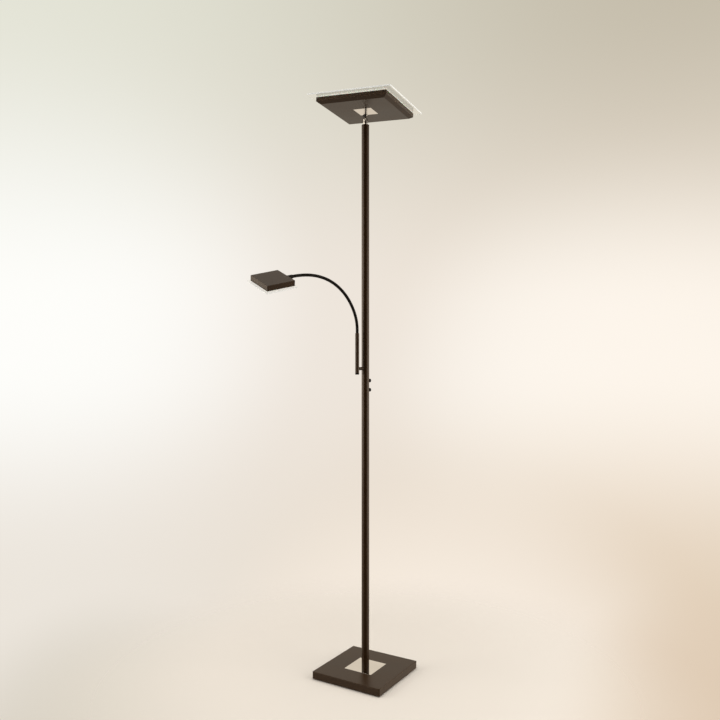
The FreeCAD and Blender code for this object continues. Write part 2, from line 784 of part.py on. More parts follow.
def make_reading_head():
    keep("neck_ferrule", to_reading(neck_ferrule()))
    flat = nut(reading_nut_flats, ferrule_stem / 2.0 + slip, 0.0, reading_nut_height)
    flat = turned(turned(flat, z_axis, 30.0), Vector(0, 1, 0), 90.0)
    keep("reading_nut", to_reading(moved(flat, ferrule_length + reading_wall, 0.0, 0.0)))
    keep("reading_housing", to_reading(reading_shell()))
    board_high = reading_ceiling - reading_board_gap
    board_low = board_high - board_sheet
    board_middle = reading_middle + reading_board_shift
    board = block(reading_board_side, reading_board_side, board_low, board_high, x=board_middle)
    hole = reading_post_diameter / 2.0 + slip
    board = drilled(board, hole, reading_post_offset, board_low, board_high, reading_middle)
    keep("reading_board", to_reading(board))
    field = chips(reading_chips, reading_chip_pitch, board_low - chip_height, board_middle, 0.0)
    keep("reading_leds", [to_reading(chip) for chip in field])
    side = reading_side - 2.0 * (reading_wall + diffuser_gap)
    low, high = reading_diffuser_low, reading_diffuser_high
    diffuser = block(side, side, low, high, x=reading_middle)
    hole = reading_post_neck / 2.0 + slip
    diffuser = drilled(diffuser, hole, reading_post_offset, low, high, reading_middle)
    keep("reading_diffuser", to_reading(diffuser))
    low, high = reading_pane_low, reading_pane_high
    pane = block(reading_glass_side, reading_glass_side, low, high, x=reading_middle)
    pane = pane.makeChamfer(0.5, pane.Edges)
    pane = drilled(pane, reading_screw / 2.0 + 0.25, reading_post_offset, low, high, reading_middle)
    keep("reading_glass", to_reading(pane))
    posts = four(lambda x, y: reading_post(reading_middle + x, y), reading_post_offset)
    keep("reading_posts", [to_reading(shape) for shape in posts])
    caps = four(lambda x, y: reading_cap(reading_middle + x, y), reading_post_offset)
    keep("reading_caps", [to_reading(shape) for shape in caps])


# Split swivel and uplight, built with the pivot at the origin and its screw along Y

def to_head(shape):
    """Leans the head about the screw, turns it about the pole and lifts it to the pivot."""
    copy = turned(shape, Vector(0, 1, 0), head_tilt)
    return to_pivot(copy)


def to_pivot(shape):
    """Turns a piece about the pole and lifts it to the pivot, without the lean."""
    copy = turned(shape, z_axis, head_yaw)
    return moved(copy, 0.0, 0.0, pivot_height)


def swivel_lug(neck_low, side):
    """Half of a round lug beside the friction washer: a straight neck and a rounded eye at the pivot."""
    radius = swivel_diameter / 2.0
    face = swivel_washer_sheet / 2.0
    drum = rod(radius, neck_low, swivel_eye)
    half = Part.makeBox(4.0 * radius, 2.0 * radius, 60.0, Vector(-2.0 * radius, face, -40.0))
    drum = drum.common(half)
    eye = Part.makeCylinder(swivel_eye, 4.0 * radius, Vector(0, -2.0 * radius, 0), Vector(0, 1, 0))
    stem = block(4.0 * radius, 4.0 * radius, neck_low, 0.0)
    lug = drum.common(eye.fuse(stem))
    return lug if side > 0 else turned(lug, z_axis, 180.0)


def screw_bar(radius, start, end):
    """A cylinder along the swivel's screw."""
    return Part.makeCylinder(radius, end - start, Vector(0, start, 0), Vector(0, 1, 0))


def swivel_lower():
    """Stem through the domed cap, round collar and the lug on the front side."""
    radius = swivel_diameter / 2.0
    collar_low = -swivel_pivot
    collar_high = collar_low + swivel_collar
    stem = rod(nipple_diameter / 2.0, collar_low - swivel_stem, collar_low + 0.1)
    collar = rod(radius, collar_low, collar_high)
    body = stem.fuse([collar, swivel_lug(collar_high - 0.1, -1)]).removeSplitter()
    body = body.cut(rod(swivel_bore / 2.0, collar_low - 20.0, collar_high - 2.0))
    screw_hole = screw_bar(swivel_screw / 2.0 + slip, -20.0, 20.0)
    head_seat = screw_bar(swivel_screw_head / 2.0 + 0.2, -20.0, -swivel_diameter / 2.0 + 2.4)
    return body.cut(screw_hole).cut(head_seat)


def swivel_upper():
    """Lug on the rear side, round collar under the head and a stem up into the pan."""
    radius = swivel_diameter / 2.0
    lug = turned(swivel_lug(-swivel_neck, 1), Vector(0, 1, 0), 180.0)
    collar = rod(radius, swivel_neck - 0.1, swivel_to_head)
    stem = rod(nipple_diameter / 2.0, swivel_to_head - 0.1, stem_top)
    body = lug.fuse([collar, stem]).removeSplitter()
    body = body.cut(rod(swivel_bore / 2.0, swivel_neck + 2.0, stem_top + 1.0))
    return body.cut(screw_bar(swivel_screw / 2.0 + slip, -20.0, swivel_diameter / 2.0 - 0.8))


def swivel_screw_solid():
    head_out = -swivel_diameter / 2.0 + 0.2
    head = screw_bar(swivel_screw_head / 2.0, head_out, head_out + 2.1)
    rim = [e for e in head.Edges if abs(e.BoundBox.YMax - head_out) < 0.01]
    head = head.makeFillet(0.5, rim)
    shank = screw_bar(swivel_screw / 2.0, head_out + 2.0, swivel_diameter / 2.0 - 1.0)
    socket = turned(hexagon(2.5, 0.0, 1.2), Vector(1, 0, 0), -90.0)
    socket = moved(socket, 0.0, head_out - 0.1, 0.0)
    return head.fuse(shank).cut(socket)


pan_floor = swivel_to_head + pan_wall
recess_floor = swivel_to_head + inlay_sheet + pan_wall
stem_top = recess_floor + washer_height + nut_height + 1.5
pan_rim = swivel_to_head + pan_height
glass_low = pan_rim + glass_gap
glass_high = glass_low + glass_sheet
diffuser_high = pan_rim - diffuser_drop
diffuser_low = diffuser_high - diffuser_sheet


def square_wire(side, height):
    half = side / 2.0
    corners = [(-half, -half), (half, -half), (half, half), (-half, half), (-half, -half)]
    return Part.makePolygon([Vector(x, y, height) for x, y in corners])


def pan_form(inset, low, knee, high):
    """Sloping lower part and upright rim, set in by a distance all round."""
    floor = square_wire(pan_floor_side - 2.0 * inset, low)
    waist = square_wire(pan_side - 2.0 * inset, knee)
    top = square_wire(pan_side - 2.0 * inset, high)
    slope = Part.makeLoft([floor, waist], True, True)
    rim = Part.makeLoft([waist, top], True, True)
    return slope.fuse(rim).removeSplitter()


def head_pan():
    knee = swivel_to_head + pan_slope_height
    outer = pan_form(0.0, swivel_to_head, knee, pan_rim)
    low_edges = [edge for edge in outer.Edges if edge.BoundBox.ZMax < pan_rim - 0.01 or
                 edge.BoundBox.ZMin < pan_rim - 0.5]
    outer = outer.makeFillet(0.8, low_edges)
    inner = pan_form(pan_wall, pan_floor, knee, pan_rim + 1.0)
    recess = head_inlay_side + 2.0 * sheet_gap
    dish = recess + 2.0 * pan_wall
    pan = outer.cut(inner)
    pan = pan.fuse(block(dish, dish, pan_floor - 0.1, recess_floor))
    pan = pan.cut(block(recess, recess, swivel_to_head - 1.0, swivel_to_head + inlay_sheet))
    return pan.cut(rod(nipple_diameter / 2.0 + slip, swivel_to_head, recess_floor + 1.0))


def head_inlay():
    plate = block(head_inlay_side, head_inlay_side, swivel_to_head, swivel_to_head + inlay_sheet)
    low = [edge for edge in plate.Edges if abs(edge.BoundBox.ZMax - swivel_to_head) < 0.01]
    plate = plate.makeChamfer(0.3, low)
    return plate.cut(rod(nipple_diameter / 2.0 + slip, swivel_to_head - 1.0, swivel_to_head + 5.0))


def lead_sleeve():
    """The short black sleeve round the lead, seen above the lower half's lug."""
    lead = rod(swivel_lead / 2.0, swivel_eye - 2.8, swivel_lead_top, x=-3.0, y=-4.2)
    lead = lead.makeFillet(0.6, [e for e in lead.Edges if abs(e.BoundBox.ZMin - swivel_lead_top) < 0.01])
    return lead.cut(swivel_lower()).cut(screw_bar(swivel_screw_head / 2.0 + loose, -20.0, 0.0))


def make_swivel():
    keep("swivel_lower", to_pivot(swivel_lower()))
    keep("swivel_upper", to_head(swivel_upper()))
    half = swivel_washer_sheet / 2.0
    washer = screw_bar(swivel_diameter / 2.0 - 0.4, -half, half - slip)
    keep("swivel_washer", to_pivot(washer.cut(screw_bar(swivel_screw / 2.0 + slip, -5.0, 5.0))))
    keep("swivel_screw", to_head(swivel_screw_solid()))
    nut_high = -swivel_pivot - cap_dome - cap_wall
    clamp = nut(nut_flats, nipple_diameter / 2.0 + slip, nut_high - nut_height, nut_high)
    keep("swivel_nut", to_pivot(clamp))
    keep("lead_sleeve", to_pivot(lead_sleeve()))


def glass_post(x, y):
    """Post from the pan's floor through board and diffuser, with a collar under the glass."""
    column = rod(post_diameter / 2.0, pan_floor, diffuser_low, x, y)
    spigot = rod(post_neck / 2.0, diffuser_low - 0.1, diffuser_high + 0.1, x, y)
    collar = rod(post_diameter / 2.0 - 1.0, diffuser_high, glass_low, x, y)
    thread = rod(glass_screw / 2.0 + slip, glass_low - 12.0, glass_low + 1.0, x, y)
    return column.fuse([spigot, collar]).removeSplitter().cut(thread)


def glass_cap(x, y):
    """Round cap screw on top of the glass."""
    top = glass_high + glass_cap_height
    head = rod(glass_cap_diameter / 2.0, glass_high, top, x, y)
    head = head.makeFillet(1.2, [e for e in head.Edges if abs(e.BoundBox.ZMin - top) < 0.01])
    return head.fuse(rod(glass_screw / 2.0, glass_low - 10.0, glass_high + 0.1, x, y))


def make_head():
    keep("head_pan", to_head(head_pan()))
    keep("head_inlay", to_head(head_inlay()))
    hole = nipple_diameter / 2.0 + slip
    washer_high = recess_floor + washer_height
    keep("head_washer", to_head(sleeve(head_washer_diameter / 2.0, hole, recess_floor, washer_high)))
    keep("head_nut", to_head(nut(nut_flats, hole, washer_high, washer_high + nut_height)))
    board_low = pan_floor + board_stud_height
    board_high = board_low + board_sheet
    studs = four(lambda x, y: rod(3.0, pan_floor, board_low, x, y), board_stud_offset)
    keep("board_studs", [to_head(stud) for stud in studs])
    board = block(board_side, board_side, board_low, board_high)
    board = board.cut(rod(board_hole / 2.0, board_low - 1.0, board_high + 1.0))
    board = drilled(board, post_diameter / 2.0 + 1.0, post_offset, board_low, board_high)
    keep("head_board", to_head(board))
    field = chips(head_chips, head_chip_pitch, board_high, 0.0, 0.0)
    keep("head_leds", [to_head(chip) for chip in field])
    side = pan_side - 2.0 * (pan_wall + diffuser_gap)
    diffuser = block(side, side, diffuser_low, diffuser_high)
    diffuser = drilled(diffuser, post_neck / 2.0 + slip, post_offset, diffuser_low, diffuser_high)
    keep("head_diffuser", to_head(diffuser))
    pane = block(glass_side, glass_side, glass_low, glass_high)
    pane = pane.makeChamfer(0.6, pane.Edges)
    pane = drilled(pane, glass_hole / 2.0, post_offset, glass_low, glass_high)
    keep("head_glass", to_head(pane))
    keep("glass_posts", [to_head(shape) for shape in four(glass_post, post_offset)])
    keep("glass_caps", [to_head(shape) for shape in four(glass_cap, post_offset)])


def main():
    os.makedirs("parts", exist_ok=True)
    make_base()
    make_pole()
    make_dimmers()
    make_arm()
    make_reading_head()
    make_swivel()
    make_head()
    for name, shape in parts.items():
        solid_count = len(shape.Solids)
        if not shape.isValid() or shape.Volume <= 0.0 or solid_count == 0:
            raise ValueError("%s is not a sound solid" % name)
        shape.exportStep("parts/%s.step" % name)
        print("%-22s %2d solids %12.1f mm3" % (name, solid_count, shape.Volume))
    print("%d nodes" % len(parts))
    print("neck end x %.2f z %.2f heading %.1f" % (neck_end.x, neck_end.z, neck_end_heading))
    print("pivot height %.2f, glass top %.2f" % (pivot_height, pivot_height + glass_high))


main()
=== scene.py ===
# %% [markdown]
# # A torchiere floor lamp with a reading light
#
# The lamp is a tall pole on a square weighted base. A shallow square pan under a glass plate throws its light
# at the ceiling, and a small square head on a flexible neck lights a book. The metal is a satin rust brown,
# with bright square plates let into the base and under the pan.
#
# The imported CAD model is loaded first. It fixes every size and place, so each piece made here goes where the
# CAD piece is, and rides on the same body. Flat plates keep their CAD shape and only get a better finish.
# Round and pressed pieces are modelled again, because their smooth highlights make the lamp look real.

import json
import math

import bmesh
import bpy
from mathutils import Matrix, Vector


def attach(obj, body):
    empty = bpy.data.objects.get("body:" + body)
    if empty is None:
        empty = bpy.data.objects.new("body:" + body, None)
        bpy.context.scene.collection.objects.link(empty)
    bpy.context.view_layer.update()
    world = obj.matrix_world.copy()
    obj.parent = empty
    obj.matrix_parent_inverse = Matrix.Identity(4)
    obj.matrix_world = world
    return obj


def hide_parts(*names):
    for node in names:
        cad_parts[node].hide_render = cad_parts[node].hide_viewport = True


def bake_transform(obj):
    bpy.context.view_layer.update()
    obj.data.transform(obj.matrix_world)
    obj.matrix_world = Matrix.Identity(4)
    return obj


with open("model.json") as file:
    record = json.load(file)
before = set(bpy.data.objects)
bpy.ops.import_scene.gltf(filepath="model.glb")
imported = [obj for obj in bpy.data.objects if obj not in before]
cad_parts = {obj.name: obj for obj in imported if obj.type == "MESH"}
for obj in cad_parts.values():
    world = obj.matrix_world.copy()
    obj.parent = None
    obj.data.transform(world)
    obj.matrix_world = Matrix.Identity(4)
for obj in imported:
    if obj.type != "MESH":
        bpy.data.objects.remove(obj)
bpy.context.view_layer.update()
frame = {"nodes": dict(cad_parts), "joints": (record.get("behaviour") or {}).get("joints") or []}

# %% [markdown]
# ## Working by hand, in code
#
# Every piece is modelled as in the viewport: add a primitive, go into edit mode, select, extrude, inset or
# bevel, and apply modifiers at the end. An operator acts on whatever is selected, so these helpers always
# start from an empty selection, and pick faces and edges by where they are.

# %% Helpers for selecting and editing
MM = 0.001
# what lies this near to a height counts as lying on it
NEAR = 0.01 * MM


def deselect():
    """Nothing is selected afterwards, in object mode."""
    if bpy.context.object and bpy.context.object.mode != "OBJECT":
        bpy.ops.object.mode_set(mode="OBJECT")
    bpy.ops.object.select_all(action="DESELECT")


def only(piece):
    """Makes one piece the selected and active one."""
    deselect()
    piece.hide_set(False)
    piece.select_set(True)
    bpy.context.view_layer.objects.active = piece


def edit(piece, mode="FACE"):
    """Opens a piece in edit mode with nothing selected."""
    only(piece)
    bpy.ops.object.mode_set(mode="EDIT")
    bpy.ops.mesh.select_mode(type=mode)
    bpy.ops.mesh.select_all(action="DESELECT")


def pick_all():
    """Selects everything, in edit mode."""
    bpy.ops.mesh.select_all(action="SELECT")


def done():
    """Goes back to object mode."""
    bpy.ops.object.mode_set(mode="OBJECT")


def pick_faces(piece, wanted):
    """Selects the faces whose centre and normal pass the test, in edit mode, and returns how many."""
    mesh = bmesh.from_edit_mesh(piece.data)
    bpy.ops.mesh.select_all(action="DESELECT")
    count = 0
    for face in mesh.faces:
        if wanted(face.calc_center_median(), face.normal):
            face.select_set(True)
            count += 1
    mesh.select_flush(True)
    bmesh.update_edit_mesh(piece.data)
    return count


def pick_edges(piece, wanted, open_only=False):
    """Selects the edges whose two ends pass the test, in edit mode, or only the open ones among them."""
    bpy.ops.mesh.select_mode(type="EDGE")
    mesh = bmesh.from_edit_mesh(piece.data)
    bpy.ops.mesh.select_all(action="DESELECT")
    for edge in mesh.edges:
        if open_only and not edge.is_boundary:
            continue
        if wanted(edge.verts[0].co, edge.verts[1].co):
            edge.select_set(True)
    bmesh.update_edit_mesh(piece.data)


def modify(piece, kind, **settings):
    """Adds a modifier, sets it and applies it."""
    only(piece)
    bpy.ops.object.modifier_add(type=kind)
    modifier = piece.modifiers[-1]
    for name, value in settings.items():
        setattr(modifier, name, value)
    bpy.ops.object.modifier_apply(modifier=modifier.name)


def weld(piece, distance=0.001 * MM):
    """Merges doubled points and turns every face outwards."""
    edit(piece, "VERT")
    pick_all()
    bpy.ops.mesh.remove_doubles(threshold=distance)
    bpy.ops.mesh.normals_make_consistent(inside=False)
    done()


def named(name):
    """Gives the piece that was just added or joined its name."""
    piece = bpy.context.object
    piece.name = name
    piece.data.name = name
    return piece


# %% Moves and turns


def moved(x, y, z):
    """The matrix of a move."""
    return Matrix.Translation((x, y, z))


def turned(degrees, axis):
    """The matrix of a turn about an axis through the origin."""
    return Matrix.Rotation(math.radians(degrees), 4, axis)


def four_corners(offset):
    """The corners of a square round the axis, where posts and screws stand."""
    return [(x, y) for x in (-offset, offset) for y in (-offset, offset)]


# a piece made along Z comes to lie along X, along Y or the other way up
across = turned(90.0, "Y")
along_y = turned(-90.0, "X")
upside_down = turned(180.0, "X")

# %% Box, turned piece and cutter


def box_piece(name, size, centre):
    """A block of a size round a centre, with its place in its mesh."""
    deselect()
    bpy.ops.mesh.primitive_cube_add(size=1.0, location=centre, scale=size)
    piece = named(name)
    bpy.ops.object.transform_apply(location=True, rotation=True, scale=True)
    return piece


def outline(points, base=0.0):
    """(Radius, height) points given in millimetres, their heights counted from a base height in metres."""
    return [(radius * MM, base + height * MM) for radius, height in points]


def drawn_line(name, points):
    """A line through (radius, height) points, drawn by extruding one vertex, and left open in edit mode."""
    deselect()
    bpy.ops.mesh.primitive_circle_add(vertices=3, radius=MM)
    piece = named(name)
    edit(piece, "VERT")
    pick_all()
    bpy.ops.mesh.merge(type="CENTER")
    bpy.ops.transform.translate(value=(points[0][0], 0, points[0][1]))
    for before, after in zip(points, points[1:]):
        step = (after[0] - before[0], 0, after[1] - before[1])
        bpy.ops.mesh.extrude_vertices_move(TRANSFORM_OT_translate={"value": step})
    return piece


def turned_piece(name, profile, steps=64):
    """A piece turned on a lathe: its profile is spun round the Z axis.

    A profile that starts off the axis is the section of a ring, and is closed."""
    piece = drawn_line(name, profile if profile[0][0] == 0.0 else profile + profile[:1])
    pick_all()
    bpy.ops.mesh.spin(steps=steps, angle=2.0 * math.pi, center=(0, 0, 0), axis=(0, 0, 1))
    done()
    weld(piece, 0.0001 * MM)
    return piece


def place(piece, matrix):
    """Moves a piece with a matrix and writes its place into its mesh."""
    only(piece)
    piece.matrix_world = matrix
    bpy.ops.object.transform_apply(location=True, rotation=True, scale=True)


def cut(piece, cutter, operation="DIFFERENCE"):
    """Cuts a piece with another one, which is then thrown away."""
    modify(piece, "BOOLEAN", object=cutter, operation=operation, solver="EXACT")
    bpy.data.objects.remove(cutter, do_unlink=True)


def drill(piece, radius, matrix, depth=12.0 * MM, sides=48):
    """Drills a round hole, its middle and axis given by a matrix."""
    deselect()
    bpy.ops.mesh.primitive_cylinder_add(vertices=sides, radius=radius, depth=depth)
    bit = named("drill_bit")
    place(bit, matrix)
    cut(piece, bit)


def join(pieces, name):
    """Joins like pieces into one."""
    deselect()
    for piece in pieces:
        piece.select_set(True)
    bpy.context.view_layer.objects.active = pieces[0]
    bpy.ops.object.join()
    return named(name)


def smooth(piece, angle=35.0, flat_stays_flat=True):
    """Smooth shading that keeps edges sharper than an angle.

    By choice large faces also lend their direction to the small ones beside them, and so look flat."""
    only(piece)
    bpy.ops.object.shade_smooth_by_angle(angle=math.radians(angle))
    if flat_stays_flat:
        modify(piece, "WEIGHTED_NORMAL", weight=100, keep_sharp=True)


def hand_over(piece, material, body, *nodes):
    """Gives a piece its finish as its one material, the body it rides on and the CAD pieces it stands for."""
    only(piece)
    piece.data.materials.clear()
    piece.data.materials.append(material)
    if body:
        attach(piece, body)
    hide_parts(*nodes)
    print("%-16s %6d faces, %s" % (piece.name, len(piece.data.polygons), body or "bends between two bodies"))


# %% [markdown]
# ## The camera
#
# The photograph was taken from a little over two metres away, level, at about half the lamp's height. With
# the camera level the pole stays parallel to the picture's edge, and the horizon runs through its middle.

# %% Camera at the photograph's viewing angle
camera_data = bpy.data.cameras.new("camera")
camera = bpy.data.objects.new("camera", camera_data)
bpy.context.scene.collection.objects.link(camera)
camera.location = (1.1907, -1.9819, 0.9908)
looking = Vector((-0.5213, 0.8534, 0.0))
right_hand = Vector((looking.y, -looking.x, 0.0))
camera.rotation_euler = looking.to_track_quat("-Z", "Y").to_euler()
camera_data.sensor_width = 36.0
camera_data.lens = 36.62
camera_data.clip_end = 60.0
bpy.context.scene.camera = camera
print("camera at", [round(value, 3) for value in camera.location])

# %% [markdown]
# ## Finishes
#
# Real finishes are never one flat colour. Paint has a fine orange-peel skin and drifts a little in tone,
# polished metal carries faint smears, edges get a lighter colour painted on as a highlight, and dust settles
# on what faces up. Each of these is a node group, built once and placed in every material with its own values.
# The groups only put out masks and heights that change over the surface. Whatever is the same all over is set
# on the shader itself.

# %% Node groups that the finishes share


def new_group(name, inputs, outputs):
    """An empty shader group with number inputs and outputs, and its two end nodes."""
    group = bpy.data.node_groups.new(name, "ShaderNodeTree")
    for label, value in inputs:
        socket = group.interface.new_socket(name=label, in_out="INPUT", socket_type="NodeSocketFloat")
        socket.default_value = value
    for label in outputs:
        group.interface.new_socket(name=label, in_out="OUTPUT", socket_type="NodeSocketFloat")
    return group, group.nodes.new("NodeGroupInput"), group.nodes.new("NodeGroupOutput")


def feed(tree, socket, value):
    """Links another node's output into a socket, or sets the socket to a plain value."""
    if isinstance(value, bpy.types.NodeSocket):
        tree.links.new(value, socket)
    else:
        socket.default_value = value


def maths(tree, operation, *values, clamp=False):
    """A maths node between values or outputs."""
    node = tree.nodes.new("ShaderNodeMath")
    node.operation = operation
    node.use_clamp = clamp
    for socket, value in zip(node.inputs, values):
        feed(tree, socket, value)
    return node.outputs[0]


def measure(tree, operation, *vectors):
    """A vector maths node that turns vectors into one number."""
    node = tree.nodes.new("ShaderNodeVectorMath")
    node.operation = operation
    for socket, vector in zip(node.inputs, vectors):
        feed(tree, socket, vector)
    return node.outputs["Value"]


def carried(tree, value, low, high, at_low=0.0, at_high=1.0, way="SMOOTHSTEP"):
    """Carries a value from one range over into another, and holds it at the ends."""
    node = tree.nodes.new("ShaderNodeMapRange")
    node.interpolation_type = way
    numbers = {"Value": value, "From Min": low, "From Max": high, "To Min": at_low, "To Max": at_high}
    for label, number in numbers.items():
        feed(tree, node.inputs[label], number)
    return node.outputs["Result"]


def pattern(tree, scale, detail=2.0):
    """A cloudy pattern from 0 to 1 that stays fixed to the piece."""
    where = tree.nodes.new("ShaderNodeTexCoord")
    noise = tree.nodes.new("ShaderNodeTexNoise")
    noise.inputs["Detail"].default_value = detail
    feed(tree, noise.inputs["Scale"], scale)
    tree.links.new(where.outputs["Object"], noise.inputs["Vector"])
    return noise.outputs["Fac"]


def skin_group():
    """Tone: a slow drift over a hand's width. Peel: the height of the fine skin."""
    group, given, out = new_group("skin", [("Drift", 9.0), ("Fine", 900.0)], ["Tone", "Peel"])
    group.links.new(pattern(group, given.outputs["Drift"], detail=3.0), out.inputs["Tone"])
    group.links.new(pattern(group, given.outputs["Fine"]), out.inputs["Peel"])
    return group


def edge_highlight_group():
    """Edge: 1 along edges, which get a lighter colour painted on as a highlight, broken up so that it never
    reads as an outline.
    """
    sharpness = 6.0
    specks = 60.0
    group, given, out = new_group("painted_edge_highlight", [("Width", 0.6 * MM), ("Amount", 1.0)], ["Edge"])
    rounded = group.nodes.new("ShaderNodeBevel")
    rounded.samples = 4
    group.links.new(given.outputs["Width"], rounded.inputs["Radius"])
    flat = group.nodes.new("ShaderNodeNewGeometry")
    likeness = measure(group, "DOT_PRODUCT", rounded.outputs["Normal"], flat.outputs["Normal"])
    edge = maths(group, "SUBTRACT", 1.0, likeness, clamp=True)
    edge = maths(group, "MULTIPLY", edge, sharpness, clamp=True)
    edge = maths(group, "MULTIPLY", edge, pattern(group, specks))
    edge = maths(group, "MULTIPLY", edge, given.outputs["Amount"], clamp=True)
    group.links.new(edge, out.inputs["Edge"])
    return group


def dust_group():
    """Dust: a thin patchy film on faces that look up."""
    least_up = 0.6
    patches = 34.0
    group, given, out = new_group("dust", [("Amount", 0.3)], ["Dust"])
    surface = group.nodes.new("ShaderNodeNewGeometry")
    split = group.nodes.new("ShaderNodeSeparateXYZ")
    group.links.new(surface.outputs["Normal"], split.inputs[0])
    up = maths(group, "SUBTRACT", split.outputs["Z"], least_up, clamp=True)
    up = maths(group, "MULTIPLY", up, 1.0 / (1.0 - least_up), clamp=True)
    film = maths(group, "MULTIPLY", up, pattern(group, patches, detail=6.0))
    film = maths(group, "MULTIPLY", film, given.outputs["Amount"], clamp=True)
    group.links.new(film, out.inputs["Dust"])
    return group


skin = skin_group()
painted_edge_highlight = edge_highlight_group()
dust = dust_group()
print("node groups:", skin.name, painted_edge_highlight.name, dust.name)

# %% [markdown]
# ## From groups to a finish
#
# One function lays the groups into a material: the tone drifts between two colours, a lighter colour painted
# along edges as a highlight and dust mix in, the roughness follows the tone and the dust, and the fine skin is
# a bump. Each finish below is one call with its own values, so the whole lamp shares one logic and no two
# finishes look alike.

# %% The finish builder
dust_colour = (0.42, 0.39, 0.35)
# the slow pattern hardly ever leaves this range
tone_low = 0.3
tone_high = 0.7


def group_node(tree, group, **values):
    """One of the shared groups, placed in a material with its own values."""
    node = tree.nodes.new("ShaderNodeGroup")
    node.node_tree = group
    for label, value in values.items():
        node.inputs[label].default_value = value
    return node


def mix_colour(tree, factor, first, second):
    """A colour mix. Either side is a colour or another node's output."""
    node = tree.nodes.new("ShaderNodeMix")
    node.data_type = "RGBA"
    tree.links.new(factor, node.inputs["Factor"])
    for socket, value in ((node.inputs[6], first), (node.inputs[7], second)):
        feed(tree, socket, (*value, 1.0) if isinstance(value, tuple) else value)
    return node.outputs[2]


def finish(slot, colour, deep, rough, rough_spread=0.08, peel=0.0, drift=9.0, fine=900.0,
           edge_highlight_colour=None, edge_highlight_amount=0.0, dust_amount=0.0, **shader):
    """A material for a slot: colour drifting to deep, a lighter colour painted along edges as a highlight,
    dust, and a fine skin as bump.

    Peel is the skin's height. What comes last are plain values of the shader's own sockets."""
    material = bpy.data.materials.new(slot + "_finish")
    material.use_nodes = True
    tree = material.node_tree
    principled = tree.nodes["Principled BSDF"]
    base = group_node(tree, skin, Drift=drift, Fine=fine)
    tone = carried(tree, base.outputs["Tone"], tone_low, tone_high, way="LINEAR")
    tint = mix_colour(tree, tone, deep, colour)
    roughness = maths(tree, "MULTIPLY_ADD", tone, rough_spread, rough)
    if edge_highlight_amount:
        # edges get a lighter colour painted on, as a highlight
        edges = group_node(tree, painted_edge_highlight, Amount=edge_highlight_amount)
        tint = mix_colour(tree, edges.outputs["Edge"], tint, edge_highlight_colour)
    if dust_amount:
        film = group_node(tree, dust, Amount=dust_amount)
        tint = mix_colour(tree, film.outputs["Dust"], tint, dust_colour)
        roughness = maths(tree, "ADD", roughness, film.outputs["Dust"], clamp=True)
    tree.links.new(tint, principled.inputs["Base Color"])
    tree.links.new(roughness, principled.inputs["Roughness"])
    if peel:
        bump = tree.nodes.new("ShaderNodeBump")
        bump.inputs["Strength"].default_value = 1.0
        bump.inputs["Distance"].default_value = peel
        tree.links.new(base.outputs["Peel"], bump.inputs["Height"])
        tree.links.new(bump.outputs["Normal"], principled.inputs["Normal"])
    for label, value in shader.items():
        principled.inputs[label.replace("_", " ")].default_value = value
    return material


# %% The finishes of this lamp
# the lighter edge colours below are highlights painted along the edges
brown_paint = finish(
    "brown_paint", (0.033, 0.0155, 0.0050), (0.026, 0.012, 0.0038), 0.29, 0.05, peel=0.012 * MM,
    edge_highlight_colour=(0.10, 0.062, 0.038), edge_highlight_amount=0.4, dust_amount=0.02, Specular_IOR_Level=0.22)
neck_paint = finish(
    "neck_coat", (0.008, 0.0062, 0.0048), (0.005, 0.004, 0.003), 0.34, 0.08, peel=0.008 * MM,
    edge_highlight_colour=(0.04, 0.032, 0.025), edge_highlight_amount=0.25, Specular_IOR_Level=0.08)
chrome = finish(
    "bright_chrome", (0.87, 0.86, 0.845), (0.815, 0.805, 0.79), 0.045, 0.05, peel=0.002 * MM, drift=16.0,
    Metallic=1.0)
zinc = finish(
    "zinc_steel", (0.60, 0.60, 0.57), (0.46, 0.46, 0.44), 0.28, 0.12, peel=0.01 * MM, drift=120.0,
    Metallic=1.0)
post_metal = finish(
    "post_metal", (0.74, 0.74, 0.72), (0.66, 0.66, 0.65), 0.22, 0.08, peel=0.006 * MM, Metallic=1.0)
cast_iron = finish(
    "weight_iron", (0.10, 0.095, 0.09), (0.055, 0.05, 0.048), 0.62, 0.2, peel=0.15 * MM, fine=420.0,
    Metallic=0.6)
rubber = finish(
    "pad_rubber", (0.022, 0.021, 0.02), (0.014, 0.013, 0.013), 0.72, 0.14, peel=0.06 * MM, fine=1400.0)
black_plastic = finish(
    "black_plastic", (0.008, 0.0076, 0.0073), (0.005, 0.0048, 0.0046), 0.38, 0.12, peel=0.02 * MM,
    fine=1800.0, edge_highlight_colour=(0.04, 0.038, 0.036), edge_highlight_amount=0.2, Specular_IOR_Level=0.05)
lead_jacket = finish(
    "lead_jacket", (0.016, 0.0155, 0.015), (0.01, 0.0098, 0.0095), 0.5, 0.12, peel=0.02 * MM)
driver_case = finish(
    "driver_case", (0.78, 0.77, 0.74), (0.70, 0.69, 0.66), 0.5, 0.1, peel=0.03 * MM)
clear_glass = finish(
    "clear_glass", (0.99, 0.995, 0.987), (0.975, 0.985, 0.972), 0.0, 0.02, drift=5.0,
    Transmission_Weight=1.0, IOR=1.5)
